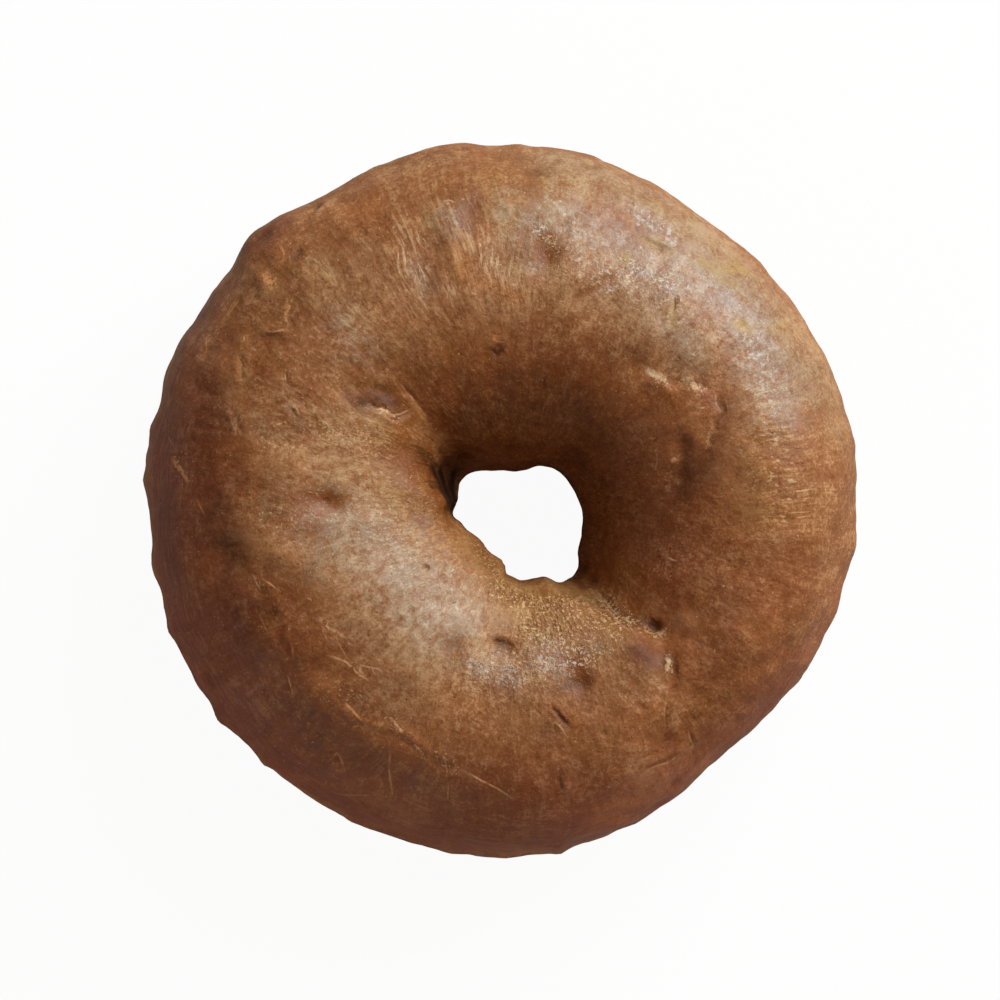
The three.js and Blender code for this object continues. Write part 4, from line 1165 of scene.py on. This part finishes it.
crustFinish = {
    # The ground's colours
    "brown": (0.295, 0.109, 0.035),
    "paleBrown": (0.45, 0.229, 0.096),
    "darkBrown": (0.165, 0.048, 0.0115),
    # The washes' colours. Those of tints multiply what they lie on.
    "redPatchesAndShade": (0.208, 0.063, 0.018),
    "warmShade": (1.03, 0.86, 0.82),
    "tanAndLight": (0.43, 0.268, 0.132),
    "bloomAndSheen": (0.49, 0.415, 0.33),
    "fairAndLight": (0.42, 0.185, 0.068),
    "frost": (0.56, 0.5, 0.44),
    "goldAndGlow": (0.35, 0.175, 0.054),
    "ochre": (0.4, 0.25, 0.06),
    "plumShade": (0.15, 0.042, 0.031),
    "hollowShade": (0.2, 0.052, 0.004),
    "deepShade": (0.09, 0.021, 0.0035),
    "holeShadow": (0.008, 0.002, 0.0005),
    "coolLight": (0.86, 0.985, 1.15),
    "dimAndShade": (0.72, 0.7, 0.68),
    "liftAndLight": (1.42, 1.38, 1.34),
    "rosyBounceLight": (1.45, 1.3, 1.32),
    "honey": (1.0, 0.985, 0.8),
    "violetShade": (0.98, 0.98, 1.22),
    # Fine things
    "thread": (0.56, 0.33, 0.15),
    "streak": (0.62, 0.45, 0.29),
    "dot": (0.64, 0.44, 0.24),
    "grainPale": (0.58, 0.36, 0.16),
    "grainDark": (0.19, 0.08, 0.026),
    # painted glints: the colours of the bright specks
    "glintSpeck": (0.66, 0.58, 0.48),
    "goldSpeckAndGlint": (0.68, 0.45, 0.22),
    "paleScratchAndGlint": (0.74, 0.5, 0.3),
    "scratchOrange": (0.82, 0.34, 0.125),
    "crackAndShade": (0.07, 0.022, 0.006),
    # Underneath
    "underside": (0.24, 0.11, 0.048),
    "flour": (0.5, 0.35, 0.22),
    # Gloss
    "roughness": 0.5,
    "specular": 0.28,
    "glazeRoughness": 0.38,
}

# Noises over the crust: how many to the millimetre, detail, roughness and distortion
mottling = {
    "broad": (0.11, 3.0, 0.55, 0.0),
    "patch": (0.2, 2.0, 0.5, 0.6),
    "blotch": (0.5, 3.0, 0.6, 0.4),
    "fleck": (1.7, 2.0, 0.6, 0.0),
    "grain": (3.6, 1.0, 0.5, 0.0),
    "breakup": (0.75, 3.0, 0.65, 0.5),
    "glint": (2.3, 2.0, 0.65, 0.6),
    "flake": (1.5, 2.0, 0.6, 0.3),
    "threadBreaks": (0.45, 1.0, 0.6, 0.0),
    "lineBreaks": (1.1, 1.0, 0.5, 0.0),
}

# How far places go on along the flow: the less, the longer the fibres that a noise makes there
stretches = {"drawn": 0.4, "longDrawn": 0.15}

# Noises along the flow: which stretch comes first, and the rest is as above
fibres = {
    "stroke": ("drawn", 1.1, 2.0, 0.6, 0.0),
    "dash": ("drawn", 2.4, 1.0, 0.5, 0.0),
    "webbing": ("drawn", 0.75, 3.0, 0.62, 0.3),
    "fibre": ("longDrawn", 2.4, 2.0, 0.6, 0.0),
}
ringLook = {"stretch": "longDrawn", "scale": 1.9, "detail": 1.0}

# Specks: cells to the millimetre, share of the cells that have one, and its radius in cells
specks = {"pore": (0.9, 0.3, 0.22), "dot": (0.85, 0.42, 0.11)}
speckSway = {"scale": 1.3, "sway": 0.5}


def makeNoises(tree, place):
    # Every noise is centred on 0
    flow = flowGroup()
    noises = {name: cloudiness(tree, place, *look) for name, look in mottling.items()}
    drawnOut = {}
    for name, stretch in stretches.items():
        inputs = {"Place": place, "Stretch": stretch}
        drawnOut[name] = addNode(tree, "Group", inputs, node_tree=flow).outputs
    for name, (stretch, *look) in fibres.items():
        noises[name] = cloudiness(tree, drawnOut[stretch]["Spokes"], *look)
    along = drawnOut[ringLook["stretch"]]
    inputs = {"Vector": along["Rings"], "W": along["RingTurn"]}
    inputs.update({"Scale": ringLook["scale"], "Detail": ringLook["detail"]})
    ring = addNode(tree, "TexNoise", inputs, noise_dimensions="4D")
    noises["ring"] = calculate(tree, "SUBTRACT", ring.outputs["Fac"], 0.5)
    return noises


def makeWashes(tree, breakup):
    ragged = raggedWashGroup()
    wash = {}
    for name, raggedness in washRaggedness.items():
        inputs = {"Wash": painted(tree, name), "Noise": breakup, "Raggedness": raggedness}
        wash[name] = addNode(tree, "Group", inputs, node_tree=ragged).outputs["Mask"]
    return wash


def makeSpecks(tree, place):
    group = speckGroup()
    sway = addNode(tree, "TexNoise", {"Vector": place, "Scale": speckSway["scale"]}).outputs["Color"]
    swayed = movedAlong(tree, place, sway, speckSway["sway"])
    masks = []
    for scale, share, radius in specks.values():
        inputs = {"Place": swayed, "Scale": scale, "Share": share, "Radius": radius}
        masks.append(addNode(tree, "Group", inputs, node_tree=group).outputs["Mask"])
    return masks


# How strongly each is laid on, at most
strength = {
    "redPatchesAndShade": 0.85,
    "rustAnywhere": 0.3,
    "pale": 0.85,
    "goldAndGlow": 0.75,
    "plumShade": 0.7,
    "flake": 0.52,
    "ochre": 0.6,
    "grit": 0.85,
    "grains": 0.7,
    "dash": 0.65,
    "dot": 0.8,
    "deepShade": 0.9,
    "holeShadow": 0.95,
    "pore": 0.4,
    "scratchAndGlint": 0.85,
    "crackAndShade": 0.7,
    "flour": 0.5,
    "underside": 0.85,
}


def makeMasks(tree, place, n, wash):
    # Where the fine things are
    mask = {}
    # painted glints: bright specks where a fine noise peaks, crowded on the blisters, the grains and the
    # sheen
    glints = (wash["blisters"], 0.09), (wash["bloomAndSheen"], 0.03), (wash["glitterAndGlints"], 0.2)
    mask["sparkle"] = ease(tree, total(tree, n["glint"], *glints), 0.155, 0.235)
    mask["grainy"] = total(tree, times(tree, n["glint"], 0.75), (n["stroke"], 0.55))
    gritty = calculate(tree, "MAXIMUM", wash["blisters"], wash["glitterAndGlints"])
    mask["grit"] = times(tree, ease(tree, mask["grainy"], 0.0, -0.13), gritty)
    mask["grains"] = times(tree, ease(tree, mask["grainy"], 0.02, 0.14), wash["blisters"])
    mask["dash"] = times(tree, ease(tree, n["dash"], 0.13, 0.2), wash["dashes"])
    mask["flake"] = ease(tree, total(tree, n["flake"], (painted(tree, "frost"), 0.4)), 0.27, 0.34)
    mask["pore"], mask["dot"] = makeSpecks(tree, place)
    # Threads lie where a stretched noise crosses its middle, in broken lengths
    crossing = ease(tree, calculate(tree, "ABSOLUTE", n["webbing"]), 0.012, 0.04, 1.0, 0.0)
    mask["thread"] = times(tree, crossing, ease(tree, n["threadBreaks"], 0.0, 0.18))
    breaks = ease(tree, n["lineBreaks"], -0.18, 0.02, 0.3, 1.0)
    mask["scratchAndGlint"], mask["orange"] = lineMask(tree, "scratchesAndGlints", n["fleck"], breaks)
    mask["crackAndShade"] = lineMask(tree, "cracksAndShade", n["fleck"], breaks)[0]
    return mask


def makeColour(tree, n, wash, mask, dustAndSheenTone):
    f = crustFinish
    s = strength
    blotch, fleck, grain, stroke = n["blotch"], n["fleck"], n["grain"], n["stroke"]

    def lay(colour, name, *shares):
        return blendColour(tree, times(tree, *shares), colour, f[name])

    def tint(colour, name):
        return blendColour(tree, wash[name], colour, f[name], "MULTIPLY")

    # The ground: darker and paler with every noise
    calm = total(tree, 1.0, (wash["bloomAndSheen"], -0.75))
    lively = total(tree, 1.03, (wash["bloomAndSheen"], -0.52), (wash["warmShade"], -0.25))
    small = times(tree, total(tree, times(tree, stroke, 0.95), (fleck, 1.4), (grain, 0.9)), lively)
    tone = total(tree, 0.5, (n["broad"], 1.4), (times(tree, blotch, calm), 1.0), (small, 1.0))
    tone = total(tree, tone, (n["spokes"], 2.2), (n["rings"], 2.0))
    colour = blendColour(tree, ease(tree, tone, 0.5, -0.15, 0.0, 0.72), f["brown"], f["darkBrown"])
    colour = lay(colour, "paleBrown", ease(tree, tone, 0.45, 1.02))

    # Patches, dust, and painted light and shade: paler where the lamp falls, darker and redder where it does
    # not
    anywhere = ease(tree, total(tree, n["patch"], (fleck, 0.3)), 0.04, 0.2)
    anywhere = times(tree, anywhere, s["rustAnywhere"])
    redAndShaded = calculate(tree, "MAXIMUM", anywhere, times(tree, wash["redPatchesAndShade"], s["redPatchesAndShade"]))
    # darker, redder patches: at random, and as painted shade in hollows and on walls turned from the lamp
    colour = lay(colour, "redPatchesAndShade", redAndShaded)
    paleTone = ease(tree, tone, -0.1, 0.9, 0.3, 1.0)
    # painted light in part: paler, greyer patches on the slopes facing the lamp
    colour = lay(colour, "tanAndLight", wash["tanAndLight"], paleTone, s["pale"])
    # painted light in part: lighter brown on the lit sides of lumps and hollows
    colour = lay(colour, "fairAndLight", wash["fairAndLight"], paleTone, s["pale"])
    # painted shade: a redder tint where the crust is turned from the lamp
    colour = tint(colour, "warmShade")
    # ochre in thin places, and a painted glow of light on the lit lip of the hole
    colour = lay(colour, "goldAndGlow", wash["goldAndGlow"], s["goldAndGlow"])
    # painted shade: plum brown on the flanks turned from the lamp
    colour = lay(colour, "plumShade", wash["plumShade"], s["plumShade"])
    # painted highlight in part: the pale dusty bloom, laid most thickly where the lamp's highlight falls
    colour = lay(colour, "bloomAndSheen", wash["bloomAndSheen"], ease(tree, dustAndSheenTone, 0.28, 0.9, 0.4, 0.8))
    colour = lay(colour, "thread", mask["thread"], total(tree, 0.22, (wash["plumShade"], -0.16)))
    streaks = ease(tree, n["spokes"], 0.06, 0.17)
    colour = lay(colour, "streak", streaks, total(tree, 0.1, (wash["spokes"], 0.36)))
    colour = lay(colour, "frost", mask["flake"], s["flake"])
    # painted light: greyer and bluer on the side towards the lamp
    colour = tint(colour, "coolLight")
    colour = lay(colour, "ochre", wash["ochre"], s["ochre"])
    # painted light and shade in part: darker patches partly painted shade, lighter ones partly painted light,
    # the rosier low rim painted light thrown back from the floor
    for name in ("dimAndShade", "liftAndLight", "rosyBounceLight"):
        colour = tint(colour, name)
    # painted shade: soft brown in the hollows
    colour = lay(colour, "hollowShade", wash["hollowShade"])
    # the bluer of these two tints is painted shade, mostly on the flanks turned from the lamp
    for name in ("honey", "violetShade"):
        colour = tint(colour, name)

    # Grains, painted glints, painted shade in folds and hollows, pores, and lines
    colour = lay(colour, "grainDark", mask["grit"], s["grit"])
    colour = lay(colour, "grainPale", mask["grains"], s["grains"])
    # painted glints: bright specks laid on as colour
    glintBrightness = total(tree, 0.44, (wash["blisters"], 0.35), (wash["glitterAndGlints"], 0.35))
    glintSpeck = blendColour(tree, ease(tree, wash["bloomAndSheen"], 0.0, 0.5), f["goldSpeckAndGlint"], f["glintSpeck"])
    colour = blendColour(tree, times(tree, mask["sparkle"], glintBrightness), colour, glintSpeck)
    colour = lay(colour, "goldSpeckAndGlint", mask["dash"], s["dash"])
    colour = lay(colour, "dot", mask["dot"], s["dot"])
    # painted shade: deep brown in pits, creases and the well of the hole
    colour = lay(colour, "deepShade", wash["deepShade"], s["deepShade"])
    # painted shadow: almost black in the folds at the hole
    colour = lay(colour, "holeShadow", wash["holeShadow"], s["holeShadow"])
    colour = lay(colour, "darkBrown", mask["pore"], s["pore"])
    # pale and orange lines, the pale ones partly painted glints on ledges and crease edges
    line = blendColour(tree, mask["orange"], f["paleScratchAndGlint"], f["scratchOrange"])
    colour = blendColour(tree, times(tree, mask["scratchAndGlint"], s["scratchAndGlint"]), colour, line)
    # dark hairlines, partly painted shade in folds and under lips
    return lay(colour, "crackAndShade", mask["crackAndShade"], s["crackAndShade"])


def makeRelief(tree, n, mask):
    # Fine relief in millimetres, calmer under the dusty bloom and painted sheen
    dustAndSheen = painted(tree, "bloomAndSheen")
    fine = times(tree, n["fleck"], 0.08)
    fine = total(tree, fine, (n["stroke"], 0.07), (n["grain"], 0.015), (n["spokes"], 0.07), (n["rings"], 0.1))
    relief = times(tree, fine, total(tree, 1.0, (dustAndSheen, -0.65)))
    relief = total(tree, relief, (times(tree, n["blotch"], total(tree, 1.2, (dustAndSheen, -0.8))), 0.15))
    blistered = times(tree, mask["grainy"], total(tree, 0.02, (painted(tree, "blisters"), 0.5)))
    lines = (mask["pore"], -0.04), (mask["scratchAndGlint"], 0.03), (mask["crackAndShade"], -0.1)
    return total(tree, relief, (blistered, 1.0), *lines)


def makeCrustMaterial():
    f = crustFinish
    material = bpy.data.materials.new("bakedRyeCrust")
    material.use_nodes = True
    tree = material.node_tree
    tree.nodes.clear()
    perMetre = 1 / millimetre
    inputs = {"Vector": addNode(tree, "TexCoord").outputs["Object"], "Scale": (perMetre, perMetre, perMetre)}
    place = addNode(tree, "Mapping", inputs).outputs["Vector"]
    n = makeNoises(tree, place)
    wash = makeWashes(tree, n["breakup"])
    n["spokes"] = times(tree, n["fibre"], total(tree, 0.15, (wash["spokes"], 0.85)))
    n["rings"] = times(tree, n["ring"], total(tree, 0.15, (wash["plumShade"], 0.9)))
    mask = makeMasks(tree, place, n, wash)
    blotch, fleck = n["blotch"], n["fleck"]
    dustAndSheenTone = total(tree, 0.5, (blotch, 0.45), (n["stroke"], 0.9), (fleck, 1.0), (n["grain"], 1.2))
    dustAndSheenTone = total(tree, dustAndSheenTone, (n["spokes"], 1.3))
    colour = makeColour(tree, n, wash, mask, dustAndSheenTone)

    # The underside: evenly baked, with flour caught in its pores
    facing = parts(tree, addNode(tree, "NewGeometry").outputs["Normal"])["Z"]
    low = ease(tree, parts(tree, place)["Z"], 0.6, 2.2, 1.0, 0.0)
    under = times(tree, low, ease(tree, facing, -0.2, -0.75))
    floured = times(tree, ease(tree, total(tree, blotch, (fleck, 1.0)), 0.02, 0.2), strength["flour"])
    underColour = blendColour(tree, floured, f["underside"], f["flour"])
    colour = blendColour(tree, times(tree, under, strength["underside"]), colour, underColour)

    # Satin, duller in folds and on the underside, with a faint glaze in the dusty bloom and painted sheen
    gloss = total(tree, f["roughness"], (blotch, 0.3), (fleck, 0.2), (wash["deepShade"], 0.12), (under, 0.3))
    glaze = times(tree, wash["bloomAndSheen"], ease(tree, dustAndSheenTone, 0.3, 0.9, 0.1, 0.45))
    height = {"Height": makeRelief(tree, n, mask), "Strength": 1.0, "Distance": millimetre}
    bump = addNode(tree, "Bump", height).outputs["Normal"]
    inputs = {"Base Color": colour, "Roughness": gloss, "Normal": bump, "Coat Weight": glaze}
    shader = addNode(tree, "BsdfPrincipled", inputs)
    shader.inputs["Specular IOR Level"].default_value = f["specular"]
    shader.inputs["Coat Roughness"].default_value = f["glazeRoughness"]
    tree.links.new(bump, shader.inputs["Coat Normal"])
    addNode(tree, "OutputMaterial", {"Surface": shader.outputs["BSDF"]})
    return material


crust.data.materials.clear()
crust.data.materials.append(makeCrustMaterial())
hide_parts("bagel")
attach(crust, "root")
print("crust material made")


def twoLooks(tree, byCamera, otherwise):
    # One look for the camera, and another for the light that falls on things
    camera = addNode(tree, "LightPath").outputs["Is Camera Ray"]
    return addNode(tree, "MixShader", {"Fac": camera, 1: otherwise, 2: byCamera}).outputs[0]


# Floor: plain and pale to the eye, though it throws back less light than white paper would
floorFinish = {
    "size": 3.0,
    "height": -0.0001,
    "pale": (1.0, 1.0, 1.0),
    "bounce": (0.5, 0.44, 0.38),
    "shadowShare": 0.05,
}


def makeFloor():
    f = floorFinish
    bpy.ops.mesh.primitive_plane_add(size=f["size"], location=(0, 0, f["height"]))
    floor = bpy.context.object
    floor.name = "paleFloor"
    material = bpy.data.materials.new("paleFloor")
    material.use_nodes = True
    tree = material.node_tree
    tree.nodes.clear()
    dull = addNode(tree, "BsdfDiffuse", {"Color": f["bounce"]}).outputs[0]
    shaded = addNode(tree, "BsdfDiffuse", {"Color": f["pale"]}).outputs[0]
    even = addNode(tree, "Emission", {"Color": f["pale"], "Strength": 1.0}).outputs[0]
    pale = addNode(tree, "MixShader", {"Fac": f["shadowShare"], 1: even, 2: shaded}).outputs[0]
    addNode(tree, "OutputMaterial", {"Surface": twoLooks(tree, pale, dull)})
    floor.data.materials.append(material)


# A soft lamp from the upper right, a weak one low on the lower left, and an even, dim, warm room
studioLight = {
    "softLamp": {"azimuth": 50, "elevation": 28, "distance": 0.9, "size": 1.0, "watts": 14.05},
    "fillLamp": {"azimuth": 235, "elevation": 9, "distance": 0.7, "size": 0.5, "watts": 0.6},
    "aim": (0, 0, 0.02),
    "daylight": (0.96, 1.0, 1.03),
    "room": (1.0, 0.8, 0.62),
    "roomLight": 0.22,
    "backdrop": (0.96, 0.96, 0.96),  # the room as it is seen, behind the floor
}


def placeLamp(name):
    plan = studioLight[name]
    azimuth, elevation = math.radians(plan["azimuth"]), math.radians(plan["elevation"])
    level = math.cos(elevation)
    away = Vector((level * math.cos(azimuth), level * math.sin(azimuth), math.sin(elevation)))
    bpy.ops.object.light_add(type="AREA", location=Vector(studioLight["aim"]) + away * plan["distance"])
    lamp = bpy.context.object
    lamp.name = name
    lamp.rotation_euler = away.to_track_quat("Z", "Y").to_euler()
    lamp.data.shape = "DISK"
    lamp.data.size = plan["size"]
    lamp.data.energy = plan["watts"]
    lamp.data.color = studioLight["daylight"]


def lightStudio():
    placeLamp("softLamp")
    placeLamp("fillLamp")
    world = bpy.data.worlds.new("dimRoom")
    world.use_nodes = True
    tree = world.node_tree
    tree.nodes.clear()
    lit = {"Color": studioLight["room"], "Strength": studioLight["roomLight"]}
    lit = addNode(tree, "Background", lit).outputs[0]
    seen = addNode(tree, "Background", {"Color": studioLight["backdrop"]}).outputs[0]
    addNode(tree, "OutputWorld", {"Surface": twoLooks(tree, seen, lit)})
    world.cycles_visibility.glossy = False
    bpy.context.scene.world = world


makeFloor()
lightStudio()
bpy.context.scene.view_settings.view_transform = "Standard"
print("floor and light placed")
